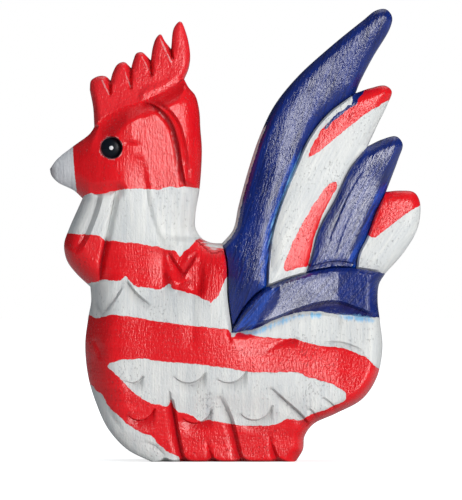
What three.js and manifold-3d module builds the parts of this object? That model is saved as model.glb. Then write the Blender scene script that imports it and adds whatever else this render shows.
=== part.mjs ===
// A painted wooden rooster, carved on both faces, standing on a flat base.
// Millimetres, Z up, beak towards -X, the middle of the base at the origin.

import * as THREE from 'three';
import { mergeVertices } from 'three/addons/utils/BufferGeometryUtils.js';
import Module from 'manifold-3d';

const wasm = await Module();
wasm.setup();

// Where the head and the tail stand on the body
const eyeForward = 29.8;
const eyeHeight = 83;
const tailBack = 11.3;
const tailHeight = 46.2;

// Thickness of the block, from face to face
const bodyWidth = 33;
const baseWidth = 27;
const breastWidth = 29;
const rumpWidth = 28;
const neckWidth = 25;
const headWidth = 23;
const beakTipWidth = 4.5;
const combWidth = 9;
const combTipWidth = 5;
const wattleWidth = 15;
const tailRootWidth = 27;
const tailTipWidth = 9;
const featherStep = 1;

// How far the carved rounding runs in from each edge, and the thickness left at that edge
const breastRound = 15;
const breastEdge = 4;
const rumpRound = 11;
const rumpEdge = 5;
const napeRound = 9;
const napeEdge = 4;
const crownRound = 8;
const crownLip = 0.6;
const beakRound = 5;
const beakEdge = 2.4;
const wattleRound = 5;
const wattleEdge = 3.2;
const combRound = 3;
const combEdge = 2.5;
const featherRound = 5;
const featherEdgeShare = 0.3;
const seatRound = 5;
const seatStep = 1;
const thickestEdgeShare = 0.85;

// V-tool and gouge cuts
const seamCut = 1.4;
const seamCutRun = 2.6;
const featherSeamRound = 3;
const foldWidth = 3;
const foldDepth = 1.2;
const veinWidth = 2.2;
const veinDepth = 1;
const stabWidth = 2.4;
const stabDepth = 0.9;
const wattleFoldWidth = 5;
const wattleFoldDepth = 1.8;

// Base, eyes and joints
const baseLength = 38.4;
const eyeRadius = 2.85;
const eyeSocketDepth = 1.8;
const eyeDome = 0.6;
const eyeSides = 24;
const dowelRadius = 1.5;
const dowelReach = 4.5;
const dowelSides = 14;
const glueGap = 0.3;

// Spacing of the carved surface's points
const outlineStep = 2.4;
const combStep = 1.5;
const cutStep = 2;
const faceStep = 5.5;
const roundingRows = [0.12, 0.35, 0.7, 1];
const closestRows = 1.1;

// Frames: points of the head are given from the eye, those of the tail from its root
const atHead = ([back, up]) => [back - eyeForward, eyeHeight + up];
const atTail = ([back, up]) => [tailBack + back, tailHeight + up];
const atBase = ([back, up]) => [back, up];
const headPoints = (...points) => points.map(atHead);
const tailPoints = (...points) => points.map(atTail);
const basePoints = (...points) => points.map(atBase);

// A smooth line through a few points, sampled at about the given step
function curve(points, step = outlineStep) {
  const spline = new THREE.CatmullRomCurve3(
    points.map(([x, z]) => new THREE.Vector3(x, 0, z)), false, 'centripetal');
  const count = Math.max(2, Math.round(spline.getLength() / step));
  return spline.getSpacedPoints(count).map((p) => [p.x, p.z]);
}

// The edges of the pieces. Neighbours share a line, so they always meet.
const jawCorner = atHead([-7.8, -13.3]);
const throatTop = atHead([1.3, -11.4]);
const crownFront = atHead([-4.7, 5.7]);
const crownBack = atHead([19.2, 18.4]);
const beakTip = atHead([-16.5, -5.5]);
const beakRoot = atHead([-3, 0]);
const wattleToe = [-35.5, 46.2];
const wattleHeel = [-32.7, 48.3];
const saddleEnd = atTail([-11.8, 11.6]);
const rootTip = atTail([-9.2, -11.7]);
const tailRoot = atTail([0, 0]);
const sickleTip = atTail([33.4, 71.8]);
const fork12 = atTail([23.7, 51.5]);
const fork23 = atTail([26.9, 37.4]);
const fork34 = atTail([31.8, 25.3]);
const foot23 = atTail([10.4, 3.6]);
const foot34 = atTail([23.8, 4.9]);
const bandCorner = atTail([31.5, 3.5]);
const baseBack = [baseLength / 2, 0];
const baseFront = [-baseLength / 2, 0];

const lines = {
  beak: curve([beakTip, ...headPoints([-14.6, -2.9], [-10.4, 0.5], [-5.9, 3.9]), crownFront]),
  crown: curve([crownFront,
    ...headPoints([-2.4, 8.2], [0.3, 9.8], [4.3, 11.4], [8.2, 12.6], [12.8, 14.5], [16.8, 16.4]),
    crownBack]),
  nape: curve([crownBack,
    ...headPoints([20.4, 16.2], [22.2, 14], [23.2, 10.2], [23.5, 5.5], [23.9, -0.4]),
    ...basePoints([-6.5, 72.5], [-7.6, 65.6], [-7.6, 61.9], [-5.9, 59.1]),
    atTail([-14.5, 11.7]), saddleEnd]),
  rootFront: curve([saddleEnd, ...tailPoints([-10.7, 6.1], [-10.4, -2.4]), rootTip]),
  rootBack: curve([rootTip, ...tailPoints([-6.1, -6], [-3.1, -2.4]), tailRoot]),
  bandSecond: curve([tailRoot, atTail([4.9, 2]), foot23]),
  bandThird: curve([foot23, ...tailPoints([14.2, 4.5], [19, 5.1]), foot34]),
  bandRear: curve([foot34, atTail([27.8, 4.3]), bandCorner]),
  rump: curve([bandCorner, atTail([29.9, 0.8]),
    ...basePoints([40.8, 42.7], [41.6, 35.8], [42.1, 30.2], [40.6, 22.2], [36.7, 16.4],
      [29.8, 12.6], [23.7, 9.7], [21.4, 6.5], [21, 3.1]),
    baseBack]),
  base: curve([baseBack, baseFront]),
  breast: curve([baseFront,
    ...basePoints([-25.5, 3.3], [-30.7, 8.9], [-33.9, 15.6], [-36.1, 22.7], [-36.9, 30.7],
      [-36.1, 37.9], [-35.3, 42.4]),
    wattleToe]),
  wattleFoot: curve([wattleToe, [-33.8, 47.1], wattleHeel]),
  throat: curve([wattleHeel, ...basePoints([-32.5, 52], [-31.3, 58.1]), atHead([0.1, -17.2]),
    throatTop]),
  jaw: curve([throatTop, ...headPoints([-2.4, -12.1], [-5.3, -12.4]), jawCorner]),
  chin: curve([jawCorner, ...headPoints([-10.1, -11.2], [-14.4, -9], [-16.1, -7.1]), beakTip]),
  wattleFront: curve([jawCorner, atHead([-9.3, -16.6]),
    ...basePoints([-41.2, 61.6], [-42.5, 57.6], [-41.8, 53.3], [-39.4, 49.9]), wattleToe]),
  sickle: curve([saddleEnd,
    ...tailPoints([-8.9, 15.2], [-7.5, 21.3], [-4.9, 30.9], [-2, 39.6], [1.9, 47.9],
      [8.1, 55.7], [17.2, 64], [25.7, 70.9], [29.1, 73.5], [31.8, 73.8]),
    sickleTip, ...tailPoints([32.9, 68.9], [28.1, 60.7], [24.9, 54.5]), fork12]),
  seam12: curve([fork12,
    ...tailPoints([16.4, 46], [11.3, 39.6], [8, 32.5], [3.9, 22.6], [1.3, 13.8], [0.4, 6.7]),
    tailRoot]),
  second: curve([fork12,
    ...tailPoints([27.5, 52.8], [31.5, 53.5], [33.3, 52], [32.1, 48.4], [29.4, 42.8]), fork23]),
  seam23: curve([fork23, ...tailPoints([22, 31.4], [18, 23.1], [13.7, 15.2], [11.8, 8]), foot23]),
  third: curve([fork23,
    ...tailPoints([30.7, 39.2], [34.5, 40], [36.2, 38], [35, 33.8], [33.1, 28.7]), fork34]),
  seam34: curve([fork34, ...tailPoints([29.1, 19.7], [26.7, 13.3], [24.5, 8.8]), foot34]),
  rear: curve([fork34,
    ...tailPoints([35.5, 25.6], [39.3, 25.1], [40.8, 22.4], [40.2, 15.7], [36.5, 9.2]),
    bandCorner]),
};

// The comb's five points, each from one notch to the next
const combSpikes = [
  [[-5.9, 15.6], [-5.6, 18], [-3.7, 19.2], [-1.7, 19.2], [-0.4, 18.1]],
  [[-0.4, 18.1], [0.3, 20.4], [1.5, 22.4], [3.3, 23], [4.4, 22.1], [5.1, 21.4]],
  [[5.1, 21.4], [5.7, 23.5], [6.5, 25.3], [8, 25.6], [9.3, 24.5], [10.3, 23.5]],
  [[10.3, 23.5], [10.9, 27.1], [11.7, 29.3], [12.9, 30.4], [14.1, 28.5], [15.7, 26.5]],
  [[15.7, 26.5], [16.5, 32.1], [18.2, 33.8], [19.8, 30.5], [20.8, 24.9], [20.4, 21.4]],
].map((spike) => spike.map(atHead));
lines.combFront = curve([crownFront, atHead([-5, 10.8]), combSpikes[0][0]]);
combSpikes.forEach((spike, i) => {
  const points = i === combSpikes.length - 1 ? [...spike, crownBack] : spike;
  lines['spike' + i] = curve(points, combStep);
});

// Nearest place on a line: how far off it lies, and how far along
function nearest(line, x, z) {
  let best = Infinity;
  let along = 0;
  let walked = 0;
  for (let i = 1; i < line.length; i += 1) {
    const [ax, az] = line[i - 1];
    const dx = line[i][0] - ax;
    const dz = line[i][1] - az;
    const length = Math.hypot(dx, dz);
    const t = Math.min(1, Math.max(0, ((x - ax) * dx + (z - az) * dz) / (length * length)));
    const off = Math.hypot(x - ax - t * dx, z - az - t * dz);
    if (off < best) {
      best = off;
      along = walked + t * length;
    }
    walked += length;
  }
  return { off: best, along, length: walked };
}

// Cuts: a line, a width and a depth; open ends run out over one cut width
const cut = (points, width, depth, open = 'both') => (
  { line: curve(points, cutStep), width, depth, open });

function cutDepthAt(cuts, x, z) {
  let deepest = 0;
  for (const { line, width, depth, open } of cuts) {
    const { off, along, length } = nearest(line, x, z);
    if (off < width / 2) {
      const atStart = open === 'both' || open === 'start' ? Math.min(1, along / width) : 1;
      const atEnd = open === 'both' || open === 'end' ? Math.min(1, (length - along) / width) : 1;
      const here = depth * (1 - off / (width / 2)) * Math.sqrt(atStart * atEnd);
      deepest = Math.max(deepest, here);
    }
  }
  return deepest;
}

const vein = (points, open) => cut(points, veinWidth, veinDepth, open);
const fold = (points, open) => cut(points, foldWidth, foldDepth, open);
const stab = (points) => cut(points, stabWidth, stabDepth);

const bodyCuts = [
  // Edge of the hackle, round the cheek and down the neck to its tip
  fold([...headPoints([7.7, 12], [10.9, 11], [13.8, 8.9], [16, 5.7], [17.2, 2], [18.1, -3.1],
    [19.2, -10.2]), ...basePoints([-11.2, 65.3], [-11.4, 54.1])], 'start'),
  fold([...headPoints([8.5, -2.3], [9.3, -7.8], [10.4, -14.2]),
    ...basePoints([-17.6, 62.7], [-15.2, 56])]),
  vein(headPoints([3.2, 1.6], [5.3, 1.3], [7.7, 1.2])),
  vein(basePoints([-14.9, 55.5], [-13, 52.3], [-10.9, 49.4])),
  vein(basePoints([-10.9, 49.4], [-9, 52.3], [-7.2, 55.5])),
  // Feather tips on the breast
  vein(basePoints([-26.3, 45.9], [-28.7, 42.7], [-31.3, 39.2])),
  vein(basePoints([-25.5, 46.4], [-22.9, 44], [-19.3, 40.8])),
  vein(basePoints([-34.1, 43.2], [-33.4, 40.9], [-31.9, 38.7])),
  // Lower edge of the saddle band, the top of the wing and the flank
  fold(tailPoints([-8.1, -11.3], [-1.2, -10], [5.2, -7.5], [10.5, -5.5], [18.5, -5.7],
    [25.4, -6.9], [29.9, -8]), 'start'),
  vein(basePoints([21, 32.6], [26.6, 32.1], [32.2, 31.3], [36.7, 28.6])),
  vein(basePoints([7.5, 27], [11.7, 29.1], [15.7, 30.9], [20.2, 32.3])),
  vein(basePoints([4.5, 30.7], [6.7, 32.3], [8.8, 33.8])),
  // Long feather cuts fanning down to the base
  vein(basePoints([-14.6, 19.6], [-13.3, 14.8], [-11.7, 8.1], [-10, 0]), 'start'),
  vein(basePoints([-4.4, 6.8], [-3.2, 3.6], [-2.3, 0]), 'start'),
  vein(basePoints([-0.8, 17.4], [1.9, 12.1], [4, 6.5], [5.9, 0]), 'start'),
  vein(basePoints([11.6, 8.1], [13, 4.4], [14.8, 0]), 'start'),
  vein(basePoints([11.8, 19.7], [15.7, 16.6], [19.4, 13.3], [22.4, 9.7]), 'start'),
  vein(basePoints([21.8, 14.6], [23.4, 13.2], [25, 11]), 'start'),
  vein(basePoints([25.7, 17.7], [28.2, 15.6], [30.1, 13.4]), 'start'),
  // Gouge stabs on the wing and the breast
  stab(basePoints([-26.2, 21.6], [-24.1, 21], [-21.6, 22.4])),
  stab(basePoints([-13.3, 22.7], [-8.8, 20.6], [-4.8, 23.5])),
  stab(basePoints([-2.1, 22], [1.4, 20.8], [5.7, 23.3])),
  stab(basePoints([-25.6, 12.6], [-21.8, 11.3], [-18.6, 13.1])),
  stab(basePoints([-11.1, 11.7], [-7.1, 10.4], [-3.1, 13.1])),
  stab(basePoints([4.3, 11.8], [8.1, 10.8], [12.2, 13.7])),
];

const wattleCuts = [
  cut([...headPoints([-2.2, -12.5], [-3.3, -15.6]),
    ...basePoints([-34.7, 62.9], [-36.5, 59.2], [-39.6, 55.2])],
  wattleFoldWidth, wattleFoldDepth, 'end'),
];

const combCuts = combSpikes.slice(1).map(([notch]) => (
  vein([notch, [notch[0] + 0.1, notch[1] - 5]], 'end')));

// A quarter-ellipse shoulder, and a straight chamfer for the cut along a seam
const shoulder = (t) => (t < 1 ? Math.sqrt(1 - (1 - t) * (1 - t)) : 1);
const chamfer = (t) => Math.min(1, t);

// Half thickness left by the edges: each falls from the full face to its own rim
function withEdges(full, edges, x, z) {
  let half = full;
  for (const { line, rim, run, shape } of edges) {
    const { off } = nearest(line, x, z);
    if (off < run) {
      const low = Math.min(rim, full * thickestEdgeShare);
      const here = low + (full - low) * shape(off / run);
      half = Math.min(half, here);
    }
  }
  return half;
}

const rounded = (line, rim, run) => ({ line, rim, run, shape: shoulder });
const seam = (line, full) => ({ line, rim: full - seamCut, run: seamCutRun, shape: chamfer });

// Full half thickness of the block, blended from places with a known width
const widths = [
  { at: [3, 32], width: bodyWidth },
  { at: [0, 0], width: baseWidth },
  { at: [-28, 24], width: breastWidth },
  { at: [38, 28], width: rumpWidth },
  { at: [-18, 60], width: neckWidth },
  { at: atHead([8, 0]), width: headWidth },
  { at: tailRoot, width: tailRootWidth + 2 * featherStep },
];
const blendReach = 13;

function blockHalf(x, z) {
  let sum = 0;
  let weights = 0;
  for (const { at, width } of widths) {
    const away = Math.hypot(x - at[0], z - at[1]) / blendReach;
    const weight = Math.exp(-away * away);
    sum += weight * width / 2;
    weights += weight;
  }
  const beakShare = Math.min(1, Math.max(0, (x - beakTip[0]) / (beakRoot[0] - beakTip[0])));
  const block = sum / weights;
  return beakTipWidth / 2 + (block - beakTipWidth / 2) * Math.sin(beakShare * Math.PI / 2);
}

// The comb thins from the crown to the tip of its tallest point
const combRise = nearest(lines.crown, ...combSpikes[4][2]).off;
const combHalf = (x, z) => {
  const share = Math.min(1, nearest(lines.crown, x, z).off / combRise);
  return (combWidth + (combTipWidth - combWidth) * share) / 2;
};

// The tail thins with distance from its root; each feather lies a step below the one ahead
const fromRoot = (x, z) => Math.hypot(x - tailRoot[0], z - tailRoot[1]);
const tailHalf = (x, z, step) => {
  const share = Math.min(1, fromRoot(x, z) / fromRoot(...sickleTip));
  return (tailRootWidth + (tailTipWidth - tailRootWidth) * share) / 2 - step * featherStep;
};

const bodyHalf = (x, z) => {
  const full = blockHalf(x, z);
  const edges = [
    rounded(lines.beak, beakEdge / 2, beakRound),
    rounded(lines.chin, beakEdge / 2, beakRound),
    rounded(lines.crown, combWidth / 2 + crownLip, crownRound),
    rounded(lines.nape, napeEdge / 2, napeRound),
    rounded(lines.rump, rumpEdge / 2, rumpRound),
    rounded(lines.breast, breastEdge / 2, breastRound),
    rounded(lines.wattleFoot, wattleWidth / 2 - seatStep, seatRound),
    rounded(lines.throat, wattleWidth / 2 - seatStep, seatRound),
    rounded(lines.jaw, wattleWidth / 2 + seatStep, seatRound),
    ...[lines.rootFront, lines.rootBack, lines.bandSecond, lines.bandThird, lines.bandRear]
      .map((line) => seam(line, full)),
  ];
  return withEdges(full, edges, x, z) - cutDepthAt(bodyCuts, x, z);
};

const wattleHalf = (x, z) => {
  const full = wattleWidth / 2;
  const edges = [
    rounded(lines.wattleFront, wattleEdge / 2, wattleRound),
    seam(lines.jaw, full),
    seam(lines.throat, full),
    seam(lines.wattleFoot, full),
  ];
  return withEdges(full, edges, x, z) - cutDepthAt(wattleCuts, x, z);
};

const combSurface = (x, z) => {
  const full = combHalf(x, z);
  const free = [lines.combFront, ...combSpikes.map((spike, i) => lines['spike' + i])];
  const edges = free.map((line) => rounded(line, combEdge / 2, combRound));
  return withEdges(full, edges, x, z) - cutDepthAt(combCuts, x, z);
};

const featherHalf = (step, free, seams) => (x, z) => {
  const full = tailHalf(x, z, step);
  const edges = [
    rounded(free, full * featherEdgeShare, featherRound),
    ...seams.map((line) => rounded(line, full - seamCut, featherSeamRound)),
  ];
  return withEdges(full, edges, x, z);
};

// Closed outlines, joined from the shared lines; a seam stands back by half the glue gap
const run = (name, glued = false, backwards = false) => {
  const line = backwards ? [...lines[name]].reverse() : lines[name];
  return { line, glued };
};

function outlineOf(runs) {
  const corners = [];
  for (const { line, glued } of runs) {
    for (const [x, z] of line.slice(0, -1)) corners.push({ x, z, inset: glued ? glueGap / 2 : 0 });
  }
  let area = 0;
  corners.forEach((p, i) => {
    const q = corners[(i + 1) % corners.length];
    area += p.x * q.z - q.x * p.z;
  });
  if (area < 0) {
    corners.reverse();
    const insets = corners.map((p) => p.inset);
    corners.forEach((p, i) => { p.inset = insets[(i + 1) % insets.length]; });
  }
  return corners.map((p, i) => {
    const before = corners[(i + corners.length - 1) % corners.length];
    const after = corners[(i + 1) % corners.length];
    return standBack(before, p, after);
  });
}

// Where two neighbouring edges meet once each has moved inwards by its own amount
function standBack(before, here, after) {
  const unit = (a, b) => {
    const length = Math.hypot(b.x - a.x, b.z - a.z);
    return [(b.x - a.x) / length, (b.z - a.z) / length];
  };
  const [ux, uz] = unit(before, here);
  const [vx, vz] = unit(here, after);
  const turn = ux * vz - uz * vx;
  const a = before.inset;
  const b = here.inset;
  if (Math.abs(turn) < 0.05) {
    const middle = (a + b) / 2;
    return [here.x - uz * middle, here.z + ux * middle];
  }
  return [here.x + (vx * a - ux * b) / turn, here.z + (vz * a - uz * b) / turn];
}

function isInside(outline, x, z) {
  let inside = false;
  for (let i = 0, j = outline.length - 1; i < outline.length; j = i, i += 1) {
    const [ax, az] = outline[i];
    const [bx, bz] = outline[j];
    if (az > z !== bz > z && x < ax + (bx - ax) * (z - az) / (bz - az)) inside = !inside;
  }
  return inside;
}

// Points of one carved face: its outline, the cuts, rows along rounded edges, then a lattice
function facePoints(outline, cuts, rounding) {
  const closed = [...outline, outline[0]];
  const points = outline.map((p) => [...p]);
  const add = (x, z, apart) => {
    if (!isInside(outline, x, z)) return;
    if (nearest(closed, x, z).off < apart) return;
    if (points.some(([px, pz]) => Math.hypot(px - x, pz - z) < apart)) return;
    points.push([x, z]);
  };
  const beside = (line, distance, visit) => {
    line.forEach(([x, z], i) => {
      const [ax, az] = line[Math.max(0, i - 1)];
      const [bx, bz] = line[Math.min(line.length - 1, i + 1)];
      const length = Math.hypot(bx - ax, bz - az);
      visit(x - (bz - az) / length * distance, z + (bx - ax) / length * distance);
    });
  };
  for (const { line, width } of cuts) {
    for (const [x, z] of line) add(x, z, width * 0.3);
  }
  for (const { line, width } of cuts) {
    for (const side of [-1, 1]) beside(line, side * width / 2, (x, z) => add(x, z, width * 0.35));
  }
  for (const share of roundingRows) {
    const depth = rounding * share;
    beside(closed, depth, (x, z) => {
      const trueDepth = nearest(closed, x, z).off;
      if (trueDepth > depth * 0.9) add(x, z, Math.max(depth / 2, closestRows));
    });
  }
  const rowHeight = faceStep * Math.sqrt(3) / 2;
  const xs = outline.map((p) => p[0]);
  const zs = outline.map((p) => p[1]);
  let row = 0;
  for (let z = Math.min(...zs); z < Math.max(...zs); z += rowHeight) {
    const shift = row % 2 === 0 ? 0 : faceStep / 2;
    for (let x = Math.min(...xs) + shift; x < Math.max(...xs); x += faceStep) {
      add(x, z, faceStep / 2);
    }
    row += 1;
  }
  return points;
}

// Triangles over scattered points, with no other point inside any triangle's circle
function triangulate(points) {
  const far = 1000;
  const all = [...points, [-far, -far], [far, -far], [0, far]];
  const circled = (a, b, c) => {
    const [ax, az] = all[a];
    const bx = all[b][0] - ax;
    const bz = all[b][1] - az;
    const cx = all[c][0] - ax;
    const cz = all[c][1] - az;
    const d = 2 * (bx * cz - bz * cx);
    const ux = (cz * (bx * bx + bz * bz) - bz * (cx * cx + cz * cz)) / d;
    const uz = (bx * (cx * cx + cz * cz) - cx * (bx * bx + bz * bz)) / d;
    return { corners: [a, b, c], x: ax + ux, z: az + uz, reach: ux * ux + uz * uz };
  };
  const n = points.length;
  let triangles = [circled(n, n + 1, n + 2)];
  for (let i = 0; i < n; i += 1) {
    const [x, z] = all[i];
    const edges = new Map();
    const kept = [];
    for (const triangle of triangles) {
      const reach = (x - triangle.x) ** 2 + (z - triangle.z) ** 2;
      if (reach > triangle.reach) {
        kept.push(triangle);
      } else {
        const [a, b, c] = triangle.corners;
        for (const [from, to] of [[a, b], [b, c], [c, a]]) {
          if (!edges.delete(to + ' ' + from)) edges.set(from + ' ' + to, [from, to]);
        }
      }
    }
    for (const [from, to] of edges.values()) kept.push(circled(from, to, i));
    triangles = kept;
  }
  return triangles.map((triangle) => triangle.corners).filter((c) => Math.max(...c) < n);
}

// Adds a point at the middle of any outline edge that the triangles don't follow yet
function completeOutline(outline, inner) {
  let ring = outline.map((p) => [...p]);
  for (let pass = 0; pass < 8; pass += 1) {
    const points = [...ring, ...inner];
    const triangles = triangulate(points);
    const edges = new Set();
    for (const [a, b, c] of triangles) {
      for (const [from, to] of [[a, b], [b, c], [c, a]]) edges.add(from + ' ' + to);
    }
    const fuller = [];
    ring.forEach((p, i) => {
      const j = (i + 1) % ring.length;
      fuller.push(p);
      const present = edges.has(i + ' ' + j) || edges.has(j + ' ' + i);
      if (!present) fuller.push([(p[0] + ring[j][0]) / 2, (p[1] + ring[j][1]) / 2]);
    });
    if (fuller.length === ring.length) return { ring, points, triangles };
    ring = fuller;
  }
  throw new Error('an outline edge could not be followed');
}

// A solid with the same carved face on both sides and a wall along its outline
function carved(runs, cuts, rounding, half) {
  const outline = outlineOf(runs);
  const inner = facePoints(outline, cuts, rounding).slice(outline.length);
  const { ring, points, triangles } = completeOutline(outline, inner);
  const positions = [];
  for (const side of [-1, 1]) {
    for (const [x, z] of points) positions.push(x, side * half(x, z), z);
  }
  const index = [];
  const back = points.length;
  for (const [a, b, c] of triangles) {
    const x = (points[a][0] + points[b][0] + points[c][0]) / 3;
    const z = (points[a][1] + points[b][1] + points[c][1]) / 3;
    if (isInside(ring, x, z)) {
      const turn = (points[b][0] - points[a][0]) * (points[c][1] - points[a][1])
        - (points[b][1] - points[a][1]) * (points[c][0] - points[a][0]);
      const [p, q] = turn > 0 ? [b, c] : [c, b];
      index.push(a, p, q, back + a, back + q, back + p);
    }
  }
  ring.forEach((p, i) => {
    const j = (i + 1) % ring.length;
    index.push(i, back + i, j, j, back + i, back + j);
  });
  const geometry = new THREE.BufferGeometry();
  geometry.setAttribute('position', new THREE.Float32BufferAttribute(positions, 3));
  geometry.setIndex(index);
  return geometry;
}

// Joining and cutting closed geometries
function toSolid(geometry) {
  const plain = geometry.clone();
  plain.deleteAttribute('normal');
  plain.deleteAttribute('uv');
  const merged = mergeVertices(plain, 1e-4);
  return new wasm.Manifold(new wasm.Mesh({
    numProp: 3,
    vertProperties: new Float32Array(merged.attributes.position.array),
    triVerts: new Uint32Array(merged.index.array),
  }));
}

function cutAway(geometry, tools) {
  let solid = toSolid(geometry);
  for (const tool of tools) solid = solid.subtract(toSolid(tool));
  const mesh = solid.getMesh();
  const result = new THREE.BufferGeometry();
  result.setAttribute('position', new THREE.BufferAttribute(mesh.vertProperties, 3));
  result.setIndex(new THREE.BufferAttribute(mesh.triVerts, 1));
  return result;
}

// A round peg across a seam, at a share of its length, and the hole that takes it.
// It stands square to the seam's chord, unless it has a lean of its own.
const leanOf = ([ax, az], [bx, bz]) => Math.atan2(bz - az, bx - ax);

function pegAcross(name, share, pegLean) {
  const line = lines[name];
  const [x, z] = line[Math.round(share * (line.length - 1))];
  const lean = pegLean ?? leanOf(line[0], line[line.length - 1]) + Math.PI / 2;
  const peg = (radius, length) => {
    const geometry = new THREE.CylinderGeometry(radius, radius, length, dowelSides);
    geometry.rotateZ(-Math.PI / 2);
    geometry.rotateY(-lean);
    geometry.translate(x, 0, z);
    return geometry;
  };
  return {
    peg: peg(dowelRadius, 2 * dowelReach),
    hole: peg(dowelRadius + glueGap, 2 * (dowelReach + glueGap)),
  };
}

const combFrontPeg = pegAcross('crown', 0.28);
const combRearPeg = pegAcross('crown', 0.75);
const wattlePeg = pegAcross('throat', 0.5);
// The sickle's peg points along its root, so that the feather slides down into its notch
const notchMiddle = [(saddleEnd[0] + tailRoot[0]) / 2, (saddleEnd[1] + tailRoot[1]) / 2];
const rootLean = leanOf(rootTip, notchMiddle);
const sicklePeg = pegAcross('rootBack', 0.6, rootLean);
const secondPeg = pegAcross('bandSecond', 0.55);
const thirdPeg = pegAcross('bandThird', 0.5);
const rearPeg = pegAcross('bandRear', 0.45);

// Eyes: a short shank and a low dome, sunk in a drilled socket on each cheek
const eyeAt = atHead([0, 0]);
const eyeFace = bodyHalf(...eyeAt);
const domeRings = 4;
const drillClearance = 3;

function eyeBead(side) {
  const seat = eyeFace - eyeSocketDepth + glueGap;
  const profile = [new THREE.Vector2(0, seat), new THREE.Vector2(eyeRadius, seat)];
  for (let i = 0; i < domeRings; i += 1) {
    const turn = i / domeRings * Math.PI / 2;
    profile.push(new THREE.Vector2(
      eyeRadius * Math.cos(turn), eyeFace + eyeDome * Math.sin(turn)));
  }
  profile.push(new THREE.Vector2(0, eyeFace + eyeDome));
  const geometry = new THREE.LatheGeometry(profile, eyeSides);
  if (side < 0) geometry.rotateX(Math.PI);
  geometry.translate(eyeAt[0], 0, eyeAt[1]);
  return geometry;
}

function eyeSocket(side) {
  const radius = eyeRadius + glueGap;
  const length = eyeSocketDepth + drillClearance;
  const middle = eyeFace + (drillClearance - eyeSocketDepth) / 2;
  const geometry = new THREE.CylinderGeometry(radius, radius, length, eyeSides);
  geometry.translate(eyeAt[0], side * middle, eyeAt[1]);
  return geometry;
}

const bodyRuns = [
  run('beak'), run('crown', true), run('nape'), run('rootFront', true), run('rootBack', true),
  run('bandSecond', true), run('bandThird', true), run('bandRear', true), run('rump'),
  run('base'), run('breast'), run('wattleFoot', true), run('throat', true), run('jaw', true),
  run('chin'),
];
const bodyGeometry = cutAway(carved(bodyRuns, bodyCuts, napeRound, bodyHalf), [
  combFrontPeg.hole, combRearPeg.hole, wattlePeg.hole, sicklePeg.hole,
  secondPeg.hole, thirdPeg.hole, rearPeg.hole,
  eyeSocket(-1), eyeSocket(1),
]);

const combRuns = [
  run('combFront'), ...combSpikes.map((spike, i) => run('spike' + i)), run('crown', true, true),
];
const combGeometry = cutAway(carved(combRuns, combCuts, combRound, combSurface), [
  combFrontPeg.hole, combRearPeg.hole,
]);

const wattleRuns = [
  run('wattleFront'), run('wattleFoot', true), run('throat', true), run('jaw', true),
];
const wattleGeometry = cutAway(carved(wattleRuns, wattleCuts, wattleRound, wattleHalf), [
  wattlePeg.hole,
]);

function feather(step, free, roots, before, after, peg) {
  const seams = [...roots, before, after].filter(Boolean);
  const half = featherHalf(step, lines[free], seams.map((name) => lines[name]));
  const runs = [run(free, false, true)];
  if (before) runs.push(run(before, true));
  runs.push(...roots.map((name) => run(name, true)));
  if (after) runs.push(run(after, true, true));
  return cutAway(carved(runs, [], featherRound, half), [peg.hole]);
}

const sickleRoots = ['rootFront', 'rootBack'];
const sickleGeometry = feather(0, 'sickle', sickleRoots, null, 'seam12', sicklePeg);
const secondGeometry = feather(1, 'second', ['bandSecond'], 'seam12', 'seam23', secondPeg);
const thirdGeometry = feather(2, 'third', ['bandThird'], 'seam23', 'seam34', thirdPeg);
const rearGeometry = feather(3, 'rear', ['bandRear'], 'seam34', null, rearPeg);

// Paint and timber
const paint = (color, roughness) => new THREE.MeshStandardMaterial({
  color, roughness, metalness: 0, flatShading: true,
});
const redPaint = () => paint(0xd8222b, 0.4);
const whitePaint = () => paint(0xd9dddd, 0.45);
const bluePaint = () => paint(0x1f2f7d, 0.35);
const blackGloss = () => paint(0x0b1018, 0.15);
const bareWood = () => paint(0xc9a97a, 0.75);

const rooster = new THREE.Group();
function addPiece(name, geometry, material) {
  const mesh = new THREE.Mesh(geometry, material);
  mesh.name = name;
  rooster.add(mesh);
}

addPiece('body', bodyGeometry, whitePaint());
addPiece('comb', combGeometry, redPaint());
addPiece('wattle', wattleGeometry, redPaint());
addPiece('tail_sickle', sickleGeometry, bluePaint());
addPiece('tail_feather_second', secondGeometry, whitePaint());
addPiece('tail_feather_third', thirdGeometry, bluePaint());
addPiece('tail_feather_rear', rearGeometry, whitePaint());
addPiece('eye_left', eyeBead(-1), blackGloss());
addPiece('eye_right', eyeBead(1), blackGloss());
addPiece('comb_dowel_front', combFrontPeg.peg, bareWood());
addPiece('comb_dowel_rear', combRearPeg.peg, bareWood());
addPiece('wattle_dowel', wattlePeg.peg, bareWood());
addPiece('sickle_dowel', sicklePeg.peg, bareWood());
addPiece('second_dowel', secondPeg.peg, bareWood());
addPiece('third_dowel', thirdPeg.peg, bareWood());
addPiece('rear_dowel', rearPeg.peg, bareWood());

export default rooster;
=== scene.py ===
import math
import bpy
import numpy as np
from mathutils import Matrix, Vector
from mathutils.geometry import delaunay_2d_cdt


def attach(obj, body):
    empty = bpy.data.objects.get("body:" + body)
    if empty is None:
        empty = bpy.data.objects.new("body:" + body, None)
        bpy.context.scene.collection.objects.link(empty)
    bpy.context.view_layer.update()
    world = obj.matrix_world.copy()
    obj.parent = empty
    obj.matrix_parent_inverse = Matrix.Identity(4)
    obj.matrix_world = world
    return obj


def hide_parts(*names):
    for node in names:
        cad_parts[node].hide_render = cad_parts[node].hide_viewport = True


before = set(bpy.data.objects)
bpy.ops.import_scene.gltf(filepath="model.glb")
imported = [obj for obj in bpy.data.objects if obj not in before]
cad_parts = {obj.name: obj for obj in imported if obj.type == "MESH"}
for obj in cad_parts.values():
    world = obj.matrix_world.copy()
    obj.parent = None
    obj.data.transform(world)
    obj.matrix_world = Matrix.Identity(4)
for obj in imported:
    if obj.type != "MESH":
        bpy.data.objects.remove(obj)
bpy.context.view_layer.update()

mm = 0.001
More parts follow.
